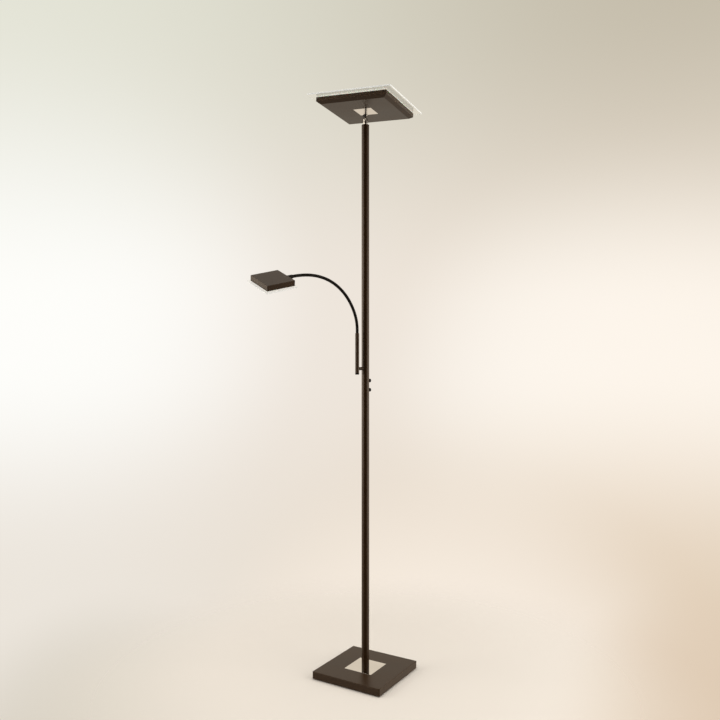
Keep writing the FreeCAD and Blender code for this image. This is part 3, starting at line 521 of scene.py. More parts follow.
# the ground edge is part of the clear glass plate, so it never goes through hand_over. Its faint emission is a
# painted glow that stands in for the light running inside the plate.
ground_glass_painted_glow = finish(
    "ground_edge_painted_glow", (0.84, 0.845, 0.815), (0.78, 0.785, 0.755), 0.5, 0.1, peel=0.02 * MM, drift=60.0,
    Emission_Color=(1.0, 0.99, 0.95, 1.0), Emission_Strength=0.3)
opal = finish(
    "opal_diffuser", (0.86, 0.85, 0.82), (0.82, 0.81, 0.78), 0.34, 0.08, peel=0.01 * MM,
    Subsurface_Weight=0.2, Subsurface_Scale=4.0 * MM)
board_white = finish(
    "board_white", (0.82, 0.82, 0.80), (0.76, 0.76, 0.74), 0.42, 0.1, peel=0.01 * MM)
phosphor = finish(
    "led_phosphor", (0.92, 0.66, 0.16), (0.84, 0.56, 0.10), 0.42, 0.1, peel=0.02 * MM, drift=300.0)
print(len(bpy.data.materials), "materials in the file")

# %% [markdown]
# ## CAD pieces that stay
#
# Flat bright plates, boards and hidden hardware are already the right shape in the CAD model. Their meshes
# aren't touched: only the material in each object's slot changes.

# %% Finishes for the CAD pieces
kept = {
    rubber: ["base_pad", "cover_buffers"],
    cast_iron: ["base_weight"],
    chrome: ["base_inlay", "head_inlay"],
    driver_case: ["driver_box"],
    zinc: ["base_nipple", "base_lock_nut", "base_washer", "base_spacer", "pole_foot_plug", "pole_coupling",
           "dimmer_nuts", "stub_nut", "reading_nut", "swivel_nut", "head_washer", "head_nut",
           "head_dimmer_shaft", "reading_dimmer_shaft"],
    post_metal: ["glass_posts", "reading_posts", "board_studs"],
    black_plastic: ["head_dimmer_body", "reading_dimmer_body"],
    lead_jacket: ["pole_lead"],
    opal: ["head_diffuser", "reading_diffuser"],
    board_white: ["head_board", "reading_board"],
    phosphor: ["head_leds", "reading_leds"],
}
for material, names in kept.items():
    for name in names:
        node = frame["nodes"][name]
        node.data.materials.clear()
        node.data.materials.append(material)
print(sum(len(names) for names in kept.values()), "CAD pieces keep their shape")

# %% [markdown]
# ## Pressed sheet
#
# The base cover, the pan and the reading head's housing are pressed from sheet metal, and they are made the
# way the press does it. A flat square with rounded corners has its border drawn out, down or up in steps. A
# bevel turns each crease into a small radius. A square dish can be pressed into the middle for a bright
# plate. At the end a solidify modifier gives the sheet its thickness.

# %% The press


def pressed_sheet(name, steps, corner, crease, wall, outer_up, dish=None):
    """Draws a square's border through (side, height) steps, rounds the creases and thickens the sheet.

    A dish is (side, rise): a sharp-cornered recess in the middle whose floor lies that much higher."""
    side, height = steps[0]
    deselect()
    bpy.ops.mesh.primitive_plane_add(size=side, location=(0, 0, height))
    piece = named(name)
    bpy.ops.object.transform_apply(location=True, rotation=True, scale=True)
    edit(piece, "VERT")
    pick_all()
    bpy.ops.mesh.bevel(offset=corner, segments=6, affect="VERTICES")
    bpy.ops.mesh.select_mode(type="EDGE")
    pick_all()
    levels = []
    for next_side, next_height in steps[1:]:
        levels.append(height)
        bpy.ops.mesh.extrude_edges_move(TRANSFORM_OT_translate={"value": (0, 0, next_height - height)})
        ratio = next_side / side
        bpy.ops.transform.resize(value=(ratio, ratio, 1.0), center_override=(0, 0, next_height))
        side, height = next_side, next_height
    for level in levels:
        pick_edges(piece, lambda a, b: max(abs(a.z - level), abs(b.z - level)) < NEAR)
        bpy.ops.mesh.bevel(offset=crease, segments=4, affect="EDGES")
    if dish:
        press_dish(piece, steps[0][1], *dish)
    pick_all()
    bpy.ops.mesh.normals_make_consistent(inside=False)
    done()
    # the largest level face tells which way the sheet looks
    flat = max(piece.data.polygons, key=lambda face: abs(face.normal.z) * face.area)
    if (flat.normal.z > 0) != outer_up:
        edit(piece)
        pick_all()
        bpy.ops.mesh.flip_normals()
        done()
    modify(piece, "SOLIDIFY", thickness=wall, offset=-1.0, use_even_offset=True, use_quality_normals=True)
    return piece


def press_dish(piece, level, side, rise):
    """Opens the flat middle, sets a square dish into it and closes the sheet round the dish."""
    bpy.ops.mesh.select_mode(type="FACE")
    pick_faces(piece, lambda centre, normal: abs(centre.z - level) < NEAR and centre.xy.length < 1.0 * MM)
    bpy.ops.mesh.delete(type="ONLY_FACE")
    bpy.ops.mesh.select_mode(type="EDGE")
    bpy.ops.mesh.select_all(action="DESELECT")
    bpy.ops.mesh.primitive_plane_add(size=side, location=(0, 0, level + rise))
    bpy.ops.mesh.extrude_edges_move(TRANSFORM_OT_translate={"value": (0, 0, -rise)})
    pick_edges(piece, lambda a, b: max(abs(a.z - level), abs(b.z - level)) < NEAR, open_only=True)
    bpy.ops.mesh.fill(use_beauty=True)


# %% [markdown]
# ## The base
#
# The cover is one pressed sheet with a square recess for the mirror plate. Its top edge is turned over a
# small radius that catches a thin line of light. Below it the rubber pad is set back, which leaves the dark
# gap that makes the base seem to float.

# %% Base cover
base_side = 240.0 * MM
base_low = 3.0 * MM
base_top = 25.0 * MM
inlay_opening = 96.4 * MM
inlay_depth = 1.5 * MM
gland_height = 19.3 * MM
# holes, each with its clearance: for the threaded stems, and for the gland and the ferrule
stem_hole = 5.05 * MM
spigot_hole = 4.05 * MM

base_shell = pressed_sheet(
    "base_shell", [(base_side, base_top), (base_side, base_low)],
    corner=3.0 * MM, crease=1.6 * MM, wall=1.2 * MM, outer_up=True, dish=(inlay_opening, -inlay_depth))
gland_axis = moved(0, base_side / 2.0, gland_height) @ along_y
drill(base_shell, spigot_hole, gland_axis)
drill(base_shell, stem_hole, moved(0, 0, base_top))
smooth(base_shell)
hand_over(base_shell, brown_paint, "stand", "base_cover")

# %% [markdown]
# ## The inlet for the lead
#
# A black bushing snaps into the rear wall and keeps the sheet's edge off the lead. It is a turned piece: its
# half section is spun round the axis, which is how all round pieces on the lamp are made.

# %% Mains gland
gland = turned_piece("gland", outline([
    (3.0, -10.0), (4.0, -10.0), (4.0, -3.3), (4.5, -3.0), (4.4, -1.3), (4.0, -1.25), (4.0, 0.0),
    (5.0, 0.0), (5.0, 1.2), (4.8, 1.7), (4.3, 2.0), (3.4, 2.0), (3.1, 1.9), (3.0, 1.6)]))
place(gland, gland_axis)
smooth(gland)
hand_over(gland, black_plastic, "stand", "mains_gland")

# %% [markdown]
# ## The pole
#
# Two lengths of tube meet at a screw joint. Each tube's end is broken by a tiny chamfer, so the joint shows
# as one fine dark line. A low dome closes the top. The tubes are turned with many steps, because a long
# straight highlight runs up a pole and any flat facet would break it.

# %% Pole tubes and cap
pole_radius = 12.0 * MM
pole_inner = 11.0 * MM
pole_joint = 1290.0 * MM
pole_top = 1731.0 * MM
joint_chamfer = 0.4 * MM
chamfer_radius = pole_radius - joint_chamfer
pole_steps = 96

joint_places = {joint["name"]: Vector(joint["pos_m"]) for joint in frame["joints"]}
arm_turn = turned(247.5, "Z")
stub_height = 963.7 * MM
knob_heights = {which: joint_places[which + "_dimmer_turn"].z for which in ("head", "reading")}
shaft_hole = 3.55 * MM

# rings of edges close to the three holes keep the drilling from disturbing the tube's long smooth faces
rings = [887.0 * MM, 911.0 * MM, 935.0 * MM, 953.0 * MM, 974.0 * MM]
pole_lower = turned_piece("pole_foot_tube", [
    (pole_inner, base_top), (pole_radius - 0.2 * MM, base_top), (pole_radius, base_top + 0.2 * MM)] + [
    (pole_radius, ring) for ring in rings] + [
    (pole_radius, pole_joint - joint_chamfer), (chamfer_radius, pole_joint), (pole_inner, pole_joint)] + [
    (pole_inner, ring) for ring in reversed(rings)], pole_steps)
drill(pole_lower, stem_hole, arm_turn @ moved(pole_radius, 0, stub_height) @ across)
for height in knob_heights.values():
    drill(pole_lower, shaft_hole, arm_turn @ moved(-pole_radius, 0, height) @ across)
smooth(pole_lower, 40.0)
hand_over(pole_lower, brown_paint, "stand", "pole_lower")

pole_upper = turned_piece("pole_top_tube", [
    (pole_inner, pole_joint), (chamfer_radius, pole_joint),
    (pole_radius, pole_joint + joint_chamfer), (pole_radius, pole_top - 0.1 * MM),
    (pole_radius - 0.1 * MM, pole_top), (pole_inner, pole_top)], pole_steps)
smooth(pole_upper, 40.0)
hand_over(pole_upper, brown_paint, "stand", "pole_upper")

dome = [(5.05, 1.8), (9.6, 1.8), (10.6, 1.7), (11.35, 1.4), (11.8, 0.9), (11.97, 0.4), (12.0, 0.0)]
spigot = [(10.9, 0.0), (10.9, -14.0), (8.2, -14.0), (8.2, -2.8), (5.05, -2.8)]
pole_cap = turned_piece("pole_dome", outline(dome + spigot, pole_top), pole_steps)
smooth(pole_cap, 30.0)
hand_over(pole_cap, brown_paint, "stand", "pole_top_cap")

# %% [markdown]
# ## Dimmer knobs
#
# Two small black knobs sit one above the other on the far side of the pole from the arm. A moulded knob has
# flutes for grip and a pointer line on its face. The body is turned, then every fourth strip of its side is
# pushed in. Each knob is modelled once and copied with its own mesh, because each one turns by itself.

# %% Knobs
knob_steps = 72
knob_gap = 0.5 * MM
knob_profile = [(0.0, 5.1), (2.05, 5.1), (2.05, 2.2), (5.35, 2.2), (5.35, 0.0), (5.68, 0.0), (5.75, 0.1),
                (5.75, 0.15), (5.75, 5.1), (5.75, 5.75), (5.68, 6.05), (5.5, 6.3), (5.2, 6.45), (4.9, 6.5),
                (0.0, 6.5)]

knob = turned_piece("head_knob", outline(knob_profile), knob_steps)
edit(knob)
grip_low = 0.15 * MM
grip_high = 5.1 * MM


def is_flute(centre, normal):
    """True for every fourth strip of the knob's side."""
    strip = int(round(math.degrees(math.atan2(centre.y, centre.x)) / (360.0 / knob_steps) - 0.5)) % 4
    on_side = abs(normal.z) < 0.1 and centre.xy.length > 5.6 * MM
    return strip == 0 and on_side and grip_low < centre.z < grip_high


print(pick_faces(knob, is_flute), "flutes on each knob")
bpy.ops.mesh.extrude_region_move()
bpy.ops.transform.resize(value=(0.94, 0.94, 0.96), center_override=(0, 0, (grip_low + grip_high) / 2.0))
done()
pointer = box_piece("pointer", (0.8 * MM, 3.6 * MM, 0.8 * MM), (0.0, 2.8 * MM, 6.5 * MM))
cut(knob, pointer)
smooth(knob, 32.0)
only(knob)
bpy.ops.object.duplicate()
reading_knob = named("reading_knob")
for piece, which in ((knob, "head"), (reading_knob, "reading")):
    place(piece, arm_turn @ moved(-pole_radius - knob_gap, 0, knob_heights[which]) @ turned(-90.0, "Y"))
    hand_over(piece, black_plastic, which + "_dimmer", which + "_dimmer_knob")

# %% [markdown]
# ## Arm holder
#
# A short cross stub carries an upright tube beside the pole, open at the top, where the flexible neck goes
# in, and closed at the bottom with a black plug. All three are turned in the arm's own frame, where the arm
# points along X, and are then swung round the pole into its direction.

# %% Stub, holder and end plug
holder_offset = 32.0 * MM
holder_low = 950.0 * MM
holder_high = joint_places["neck_swing"].z
lead_hole = 3.0 * MM
arm_steps = 72

holder_foot = outline([(5.2, 0.0), (6.25, 0.0)], holder_low)
holder_mouth = outline([(6.25, -0.6), (6.17, -0.25), (5.95, -0.05), (5.7, 0.0), (5.4, 0.0), (5.2, -0.2)],
                       holder_high)
holder = turned_piece("holder_tube", holder_foot + holder_mouth, arm_steps)
place(holder, moved(holder_offset, 0, 0))
drill(holder, lead_hole, moved(holder_offset - 6.0 * MM, 0, stub_height) @ across)
place(holder, arm_turn)
smooth(holder)
hand_over(holder, brown_paint, "stand", "arm_holder")

end_plug = turned_piece("holder_plug", outline([
    (0.0, -5.0), (4.9, -5.0), (5.6, -4.75), (6.08, -4.3), (6.25, -3.7), (6.25, 0.0), (5.15, 0.0),
    (5.15, 6.0), (0.0, 6.0)], holder_low), arm_steps)
place(end_plug, arm_turn @ moved(holder_offset, 0, 0))
smooth(end_plug)
hand_over(end_plug, black_plastic, "stand", "holder_end_plug")

# the stub's outer end is hollowed to sit on the holder, with a little clearance
saddle_radius = 6.27 * MM
stub = turned_piece("cross_stub", outline([(3.0, 3.5), (5.0, 3.5), (5.0, 29.5), (3.0, 29.5)]))
place(stub, moved(0, 0, stub_height) @ across)
drill(stub, saddle_radius, moved(holder_offset, 0, stub_height), depth=40.0 * MM, sides=96)
place(stub, arm_turn)
smooth(stub)
hand_over(stub, brown_paint, "stand", "arm_stub")

# %% [markdown]
# ## The flexible neck
#
# The neck is a metal hose: a strip wound in a close helix, so its surface is one long thread of rounded ribs.
# A screw modifier winds the outline of a single rib into that thread, straight at first. A curve modifier then
# lays the straight hose along the neck's line, one smooth bow. It is made in seven lengths, cut at the first
# and last hinge of the CAD neck and halfway between the hinges, and each stands in for one CAD neck piece;
# none of them rides on a body.

# %% The neck's centreline
neck_turns = (22.0, 17.0, 19.0, 19.0, 16.0, 10.5)
neck_arc = 54.0 * MM
neck_straight = 10.0 * MM
neck_root = 20.0 * MM
start_height = holder_high - neck_root


def heading_vector(heading):
    """The direction of a heading in degrees: 0 points away from the pole, 90 straight up."""
    angle = math.radians(heading)
    return Vector((math.cos(angle), 0.0, math.sin(angle)))


def neck_corners():
    """Points where the neck's curvature changes: (point, heading), in the arm's frame."""
    heading = 90.0
    point = Vector((holder_offset, 0.0, holder_high + neck_straight))
    corners = [(point.copy(), heading)]
    for turn in neck_turns:
        chord = 2.0 * neck_arc / math.radians(turn) * math.sin(math.radians(turn / 2.0))
        point += heading_vector(heading - turn / 2.0) * chord
        heading -= turn
        corners.append((point.copy(), heading))
    return corners


corners = neck_corners()
neck_end = corners[-1][0] + heading_vector(corners[-1][1]) * neck_straight
neck_heading = corners[-1][1]
neck_length = neck_root + neck_straight + neck_arc * len(neck_turns) + neck_straight
print("neck %.0f mm long, its end at x %.1f z %.1f mm" % (
    neck_length / MM, neck_end.x / MM, neck_end.z / MM))

deselect()
bpy.ops.curve.primitive_bezier_curve_add(location=(0, 0, 0))
neck_line = named("neck_line")
spline = neck_line.data.splines[0]
knots = [(Vector((holder_offset, 0, start_height)), 90.0)] + corners + [(neck_end, neck_heading)]
spline.bezier_points.add(len(knots) - 2)
# handle lengths: a third of a straight run, and the usual circle rule on an arc
reaches = [(neck_root + neck_straight) / 3.0]
for turn in neck_turns:
    radius = neck_arc / math.radians(turn)
    reaches.append(4.0 / 3.0 * math.tan(math.radians(turn) / 4.0) * radius)
reaches.append(neck_straight / 3.0)
for number, (point, heading) in enumerate(knots):
    knot = spline.bezier_points[number]
    knot.handle_left_type = knot.handle_right_type = "FREE"
    knot.co = point
    onward = heading_vector(heading)
    knot.handle_left = point - onward * reaches[max(number - 1, 0)]
    knot.handle_right = point + onward * reaches[min(number, len(reaches) - 1)]
neck_line.data.dimensions = "3D"
neck_line.data.resolution_u = 24

# %% Seven lengths of hose
rib_pitch = 3.0 * MM
rib_outline = [(4.45, 0.0), (4.55, 0.35), (4.75, 0.8), (4.8, 1.25), (4.8, 1.55), (4.75, 2.0), (4.55, 2.55),
               (4.45, 3.0)]
rib_steps = 36
spare_ribs = 2
core_inset = 0.45 * MM
core_reach = 1.2 * MM


def hose(name, low, high):
    """A closed length of ribbed hose between two distances along the neck, laid along its line.

    At a cut it has a plain core that reaches into the next length and fills the wedge in a bend."""
    turns = int(math.ceil((high - low) / rib_pitch)) + 2 * spare_ribs
    # a fifth of a step keeps the thread's points off the planes that cut its ends
    start = (math.floor(low / rib_pitch) - spare_ribs + 0.2 / rib_steps) * rib_pitch
    piece = drawn_line(name, outline(rib_outline, start))
    done()
    modify(piece, "SCREW", steps=rib_steps, render_steps=rib_steps, screw_offset=rib_pitch, iterations=turns,
           use_normal_calculate=True)
    weld(piece)
    edit(piece, "VERT")
    for height, side in ((low, False), (high, True)):
        pick_all()
        bpy.ops.mesh.bisect(plane_co=(0, 0, height), plane_no=(0, 0, 1), use_fill=True,
                            clear_outer=side, clear_inner=not side, threshold=0.0001 * MM)
    pick_all()
    bpy.ops.mesh.normals_make_consistent(inside=False)
    bpy.ops.mesh.select_mode(type="FACE")
    for height, out in ((low, -1.0), (high, 1.0)):
        if 0.0 < height < neck_length:
            pick_faces(piece, lambda centre, normal: abs(centre.z - height) < NEAR and normal.z * out > 0.9)
            bpy.ops.mesh.inset(thickness=core_inset)
            bpy.ops.mesh.extrude_region_move(TRANSFORM_OT_translate={"value": (0, 0, out * core_reach)})
    done()
    modify(piece, "CURVE", object=neck_line, deform_axis="POS_Z")
    place(piece, arm_turn)
    return piece


# the distances along the neck at which the CAD neck hinges and this one is cut
hinges = [neck_root + neck_straight + neck_arc * (number + 1) for number in range(len(neck_turns) - 1)]
between = [hinge + neck_arc / 2.0 for hinge in hinges[:-1]]
cuts = [0.0, hinges[0]] + between + [hinges[-1], neck_length]


cad_necks = ["neck_1", "neck_2", "neck_3", "neck_4", "neck_5", "neck_5", "neck_6"]
for number, node in enumerate(cad_necks):
    length = hose("hose_%d" % (number + 1), cuts[number], cuts[number + 1])
    smooth(length, 50.0, flat_stays_flat=False)
    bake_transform(length)
    hand_over(length, neck_paint, None, node)
bpy.data.objects.remove(neck_line, do_unlink=True)

# %% [markdown]
# ## The reading head
#
# A square pressed housing, open below, with a glass plate a little larger than itself held 2 mm under it by
# four screws. It is modelled flat at the neck's end, with X pointing out along the neck, and then twisted,
# dipped and swung into place with one matrix.

# %% Housing
reading_twist = -25.0
reading_place = arm_turn @ moved(*neck_end) @ turned(-neck_heading, "Y") @ turned(reading_twist, "X")
reading_side = 93.0 * MM
reading_half_height = 8.5 * MM
reading_middle = 12.0 * MM + reading_side / 2.0
post_offset = 34.0 * MM
glass_gap = 2.0 * MM
reading_glass = 3.0 * MM

housing = pressed_sheet(
    "reading_shell", [(reading_side, reading_half_height), (reading_side, -reading_half_height)],
    corner=1.2 * MM, crease=1.0 * MM, wall=1.5 * MM, outer_up=True)
drill(housing, spigot_hole, moved(-reading_side / 2.0, 0, 0) @ across)
place(housing, reading_place @ moved(reading_middle, 0, 0))
smooth(housing)
hand_over(housing, brown_paint, "reading_light", "reading_housing")

# %% Ferrule
ferrule = turned_piece("ferrule", outline([
    (5.1, -9.0), (5.4, -9.0), (5.8, -8.75), (6.0, -8.2), (6.0, 11.2), (5.8, 11.75), (5.3, 12.0), (4.0, 12.0),
    (4.0, 18.5), (2.5, 18.5), (2.5, 0.3), (5.1, 0.3)]))
place(ferrule, reading_place @ across)
smooth(ferrule)
hand_over(ferrule, neck_paint, "reading_light", "neck_ferrule")

# %% Cap screws


def cap_screw(name, points, socket_depth):
    """A turned screw with a hexagon socket in its face, which is the outline's last height."""
    profile = outline(points)
    screw = turned_piece(name, profile, 48)
    drill(screw, socket_depth * 1.25, moved(0, 0, profile[-1][1]), depth=2.0 * socket_depth, sides=6)
    smooth(screw, 30.0)
    return screw


def four_screws(name, model, offset, height, matrix):
    """Four copies of a screw at the corners of a square, joined into one piece."""
    copies = []
    for x, y in four_corners(offset):
        only(model)
        bpy.ops.object.duplicate()
        copies.append(bpy.context.object)
        place(copies[-1], matrix @ moved(x, y, height))
    bpy.data.objects.remove(model, do_unlink=True)
    return join(copies, name)


small_screw = cap_screw("small_screw", [
    (0.0, -10.0), (1.25, -10.0), (1.25, 0.0), (4.0, 0.0), (4.0, 0.1), (3.25, 1.5), (3.05, 1.6), (0.0, 1.6)],
    socket_depth=0.9 * MM)
glass_underside = -reading_half_height - glass_gap - reading_glass
reading_screws = four_screws(
    "reading_screws", small_screw, post_offset, -glass_underside,
    reading_place @ moved(reading_middle, 0, 0) @ upside_down)
hand_over(reading_screws, chrome, "reading_light", "reading_caps")

# %% [markdown]
# ## The glass plates
#
# Both plates are cut from clear float glass, drilled for their screws, and their edges are ground. A polished
# edge would look black from the side, because light is trapped between the two faces. A ground edge lets that
# light out and shows as a thin pale line, as on the real lamp. So a plate has two materials: clear glass, and
# on each narrow face a pale satin one with a faint emission, a painted glow that stands in for the light
# running inside the plate.

# %% The reading head's glass


def glass_plate(name, side, thickness, arris, hole_radius, offset, matrix):
    """A drilled plate round the origin, placed by a matrix, with its ground faces still to be marked."""
    plate = box_piece(name, (side, side, thickness), (0, 0, 0))
    modify(plate, "BEVEL", width=arris, segments=1, limit_method="ANGLE")
    for x, y in four_corners(offset):
        drill(plate, hole_radius, moved(x, y, 0), sides=32)
    place(plate, matrix)
    return plate


def grind_edges(plate, matrix):
    """Gives every face that doesn't look straight out of the plate the ground finish, with its painted glow.
    """
    out = (matrix.to_3x3() @ Vector((0, 0, 1))).normalized()
    plate.data.materials.append(ground_glass_painted_glow)
    ground = [face for face in plate.data.polygons if abs(face.normal.dot(out)) < 0.95]
    for face in ground:
        face.material_index = 1
    print(len(ground), "of", len(plate.data.polygons), "faces ground on", plate.name)


reading_pane_place = reading_place @ moved(reading_middle, 0, glass_underside + reading_glass / 2.0)
reading_pane = glass_plate(
    "reading_pane", side=107.0 * MM, thickness=reading_glass, arris=0.5 * MM, hole_radius=1.5 * MM,
    offset=post_offset, matrix=reading_pane_place)
hand_over(reading_pane, clear_glass, "reading_light", "reading_glass")
grind_edges(reading_pane, reading_pane_place)

# %% [markdown]
# ## The split swivel
#
# Between pole and pan sits a small chromed joint: two half-round lugs side by side with a black friction
# washer between them and one screw through all three. Each half is turned as a drum, half of it is cut away,
# and the free end is rounded by keeping only what lies inside a long-hole shape.

# %% Swivel halves
pivot_turn = 7.2
head_tilt = 2.65
pivot_place = moved(*joint_places["head_tilt"]) @ turned(pivot_turn, "Z")
head_place = pivot_place @ turned(head_tilt, "Y")
lug_radius = 6.5 * MM
eye_radius = 7.4 * MM
screw_hole = 2.05 * MM
screw_seat = 3.7 * MM
# the lugs meet at the washer, this far to the side of the axis
lug_face = -1.5 * MM


def long_hole():
    """A block with a rounded end: an upright disc round the pivot, its lower half drawn down."""
    length = 40.0 * MM
    deselect()
    bpy.ops.mesh.primitive_cylinder_add(vertices=96, radius=eye_radius, depth=length)
    tool = named("long_hole")
    place(tool, along_y)
    edit(tool)
    pick_faces(tool, lambda centre, normal: abs(normal.y) < 0.5 and centre.z < -NEAR)
    bpy.ops.mesh.extrude_region_move(TRANSFORM_OT_translate={"value": (0, 0, -length)})
    done()
    weld(tool)
    return tool


def swivel_half(name, collar_far, collar_near, stem):
    """Stem and collar below, lug above on the -Y side, round the pivot at the origin."""
    foot = collar_far - stem
    half = turned_piece(name, [
        (0.0, foot), (5.0 * MM, foot), (5.0 * MM, collar_far), (lug_radius - 0.2 * MM, collar_far),
        (lug_radius, collar_far + 0.2 * MM), (lug_radius, eye_radius), (0.0, eye_radius)], 72)
    width, height = 20.0 * MM, 40.0 * MM
    middle = (0, lug_face + width / 2.0, collar_near + height / 2.0)
    cut(half, box_piece("waste", (30.0 * MM, width, height), middle))
    cut(half, long_hole(), "INTERSECT")
    modify(half, "BEVEL", width=0.25 * MM, segments=3, limit_method="ANGLE", angle_limit=math.radians(38.0))
    # the lead's way up the stem ends short of the collar's top
    bore_end = collar_near - 2.0 * MM
    drill(half, 2.75 * MM, moved(0, 0, foot), depth=2.0 * (bore_end - foot), sides=32)
    return half


swivel_low = swivel_half("swivel_foot", collar_far=-16.0 * MM, collar_near=-9.5 * MM, stem=16.0 * MM)
drill(swivel_low, screw_seat, moved(0, -9.1 * MM, 0) @ along_y, depth=10.0 * MM)
drill(swivel_low, screw_hole, moved(0, -4.0 * MM, 0) @ along_y, depth=10.0 * MM)
place(swivel_low, pivot_place)
smooth(swivel_low, 32.0)
hand_over(swivel_low, chrome, "stand", "swivel_lower")

swivel_high = swivel_half("swivel_crown", collar_far=-25.5 * MM, collar_near=-15.0 * MM, stem=10.0 * MM)
drill(swivel_high, screw_hole, moved(0, -0.7 * MM, 0) @ along_y, depth=10.0 * MM)
place(swivel_high, head_place @ upside_down)
smooth(swivel_high, 32.0)
hand_over(swivel_high, chrome, "uplight", "swivel_upper")

# %% Friction disc and screw
friction_disc = turned_piece("friction_disc", outline([
    (2.05, -1.5), (6.0, -1.5), (6.1, -1.4), (6.1, 1.35), (6.0, 1.45), (2.05, 1.45)]))
place(friction_disc, pivot_place @ along_y)
smooth(friction_disc)
hand_over(friction_disc, black_plastic, "stand", "swivel_washer")

pivot_screw = cap_screw("pivot_screw", [
    (0.0, -5.5), (2.0, -5.5), (2.0, 4.2), (3.5, 4.2), (3.5, 5.8), (3.35, 6.15), (3.0, 6.3), (0.0, 6.3)],
    socket_depth=1.1 * MM)
place(pivot_screw, head_place @ along_y.inverted())
hand_over(pivot_screw, chrome, "uplight", "swivel_screw")

# %% [markdown]
# ## The lead across the swivel
#
# The lead leaves the lower half, passes the lugs on one side and goes up into the head. It crosses the hinge,
# so it rides on neither the pole's body nor the head's.

# %% Lead beside the lugs
lead_low = 4.6 * MM
lead_high = 15.0 * MM
lead_radius = 2.6 * MM
lead_steps = 12
lead_side = [(lead_radius, lead_low + (lead_high - lead_low) * step / lead_steps)
             for step in range(lead_steps + 1)]
head_lead = turned_piece("head_lead", [(0.0, lead_low)] + lead_side + [(0.0, lead_high)], 40)
place(head_lead, pivot_place @ moved(-3.0 * MM, -4.2 * MM, 0))
smooth(head_lead)
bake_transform(head_lead)
hand_over(head_lead, lead_jacket, None, "lead_sleeve")

# %% [markdown]
# ## The uplight
#
# The pan is one pressed sheet: a square dish for the bright plate under its middle, a flat floor, a shallow
# slope and an upright rim. The glass plate stands clear of the rim on four posts, with a round cap screw over
# each. Seen from below, the pan's slope and rim catch different light, which is what shows its shape.

# %% Pan and cap screws
pan_floor = 25.5 * MM
pan_knee = pan_floor + 6.8 * MM
pan_rim = pan_floor + 19.3 * MM
head_glass = 4.0 * MM
glass_top = pan_rim + 2.3 * MM + head_glass
head_post_offset = 96.0 * MM

pan = pressed_sheet(
    "pan_shell", [(212.0 * MM, pan_floor), (233.0 * MM, pan_knee), (233.0 * MM, pan_rim)],
    corner=1.0 * MM, crease=0.8 * MM, wall=1.5 * MM, outer_up=False, dish=(60.4 * MM, 1.5 * MM))
drill(pan, stem_hole, moved(0, 0, pan_floor))
place(pan, head_place)
smooth(pan)
hand_over(pan, brown_paint, "uplight", "head_pan")

large_screw = cap_screw("large_screw", [
    (0.0, -14.0), (1.5, -14.0), (1.5, 0.0), (6.5, 0.0), (6.5, 1.3), (6.35, 1.9), (5.95, 2.3), (5.3, 2.5),
    (0.0, 2.5)], socket_depth=1.6 * MM)
glass_screws = four_screws("glass_screws", large_screw, head_post_offset, glass_top, head_place)
hand_over(glass_screws, chrome, "uplight", "glass_caps")

# %% The uplight's glass
head_pane_place = head_place @ moved(0, 0, glass_top - head_glass / 2.0)
head_pane = glass_plate(
    "head_pane", side=276.0 * MM, thickness=head_glass, arris=0.6 * MM, hole_radius=2.3 * MM,
    offset=head_post_offset, matrix=head_pane_place)
hand_over(head_pane, clear_glass, "uplight", "head_glass")
grind_edges(head_pane, head_pane_place)

# %% [markdown]
# ## Room and light
#
# The floor is one pale disc. Its border fades out into the same tone as the world behind it, so from every
# side the lamp stands in one seamless pale room. The camera and the glass see that room. Metal mirrors a
# plainer one, with a bright window on each side of the lamp and darkness behind the camera: that is what
# draws two bright edges and a dark core on every round piece. A large soft lamp hangs above, and a soft strip
# stands at each side.

# %% Helpers for the world
upwards = Vector((0, 0, 1))
world = bpy.data.worlds.new("pale_room")
bpy.context.scene.world = world
world.use_nodes = True
sky = world.node_tree
sky.nodes.clear()
direction = sky.nodes.new("ShaderNodeTexCoord")
path = sky.nodes.new("ShaderNodeLightPath")


def along(axis, low, high, at_low=0.0, at_high=1.0):
    """A smooth change with the direction's share along an axis."""
    share = measure(sky, "DOT_PRODUCT", direction.outputs["Generated"], axis)
    return carried(sky, share, low, high, at_low, at_high)


def background(colour, strength=1.0):
    """A background shader. Colour and strength are values or another node's output."""
    shader = sky.nodes.new("ShaderNodeBackground")
    feed(sky, shader.inputs["Color"], colour)
    feed(sky, shader.inputs["Strength"], strength)
    return shader.outputs[0]


def either(factor, first, second):
    """The first shader where the factor is 0, the second where it is 1."""
    mix = sky.nodes.new("ShaderNodeMixShader")
    for socket, value in zip(mix.inputs, (factor, first, second)):
        sky.links.new(value, socket)
    return mix.outputs[0]


def blended(factor, first, second):
    """A colour between two, in the world's own nodes."""
    return mix_colour(sky, factor, first, second)


def towards(x, y):
    """The direction in which the camera sees a point of the picture, in pixels of a 720 pixel frame."""
    half_frame = 360.0
    per_pixel = camera_data.sensor_width / 2.0 / camera_data.lens / half_frame
    sideways = right_hand * (x - half_frame) * per_pixel
    return (looking + sideways + upwards * (half_frame - y) * per_pixel).normalized()


def pool(centre, spread):
    """1 in the middle of a round pool of light, 0 at so many degrees from it."""
    return along(towards(*centre), math.cos(math.radians(spread)), 1.0)


# %% The room that the camera sees
across_room = along(right_hand, -0.42, 0.42)


def tones(left, right):
    """A colour that changes from the room's left to its right."""
    return blended(across_room, left, right)


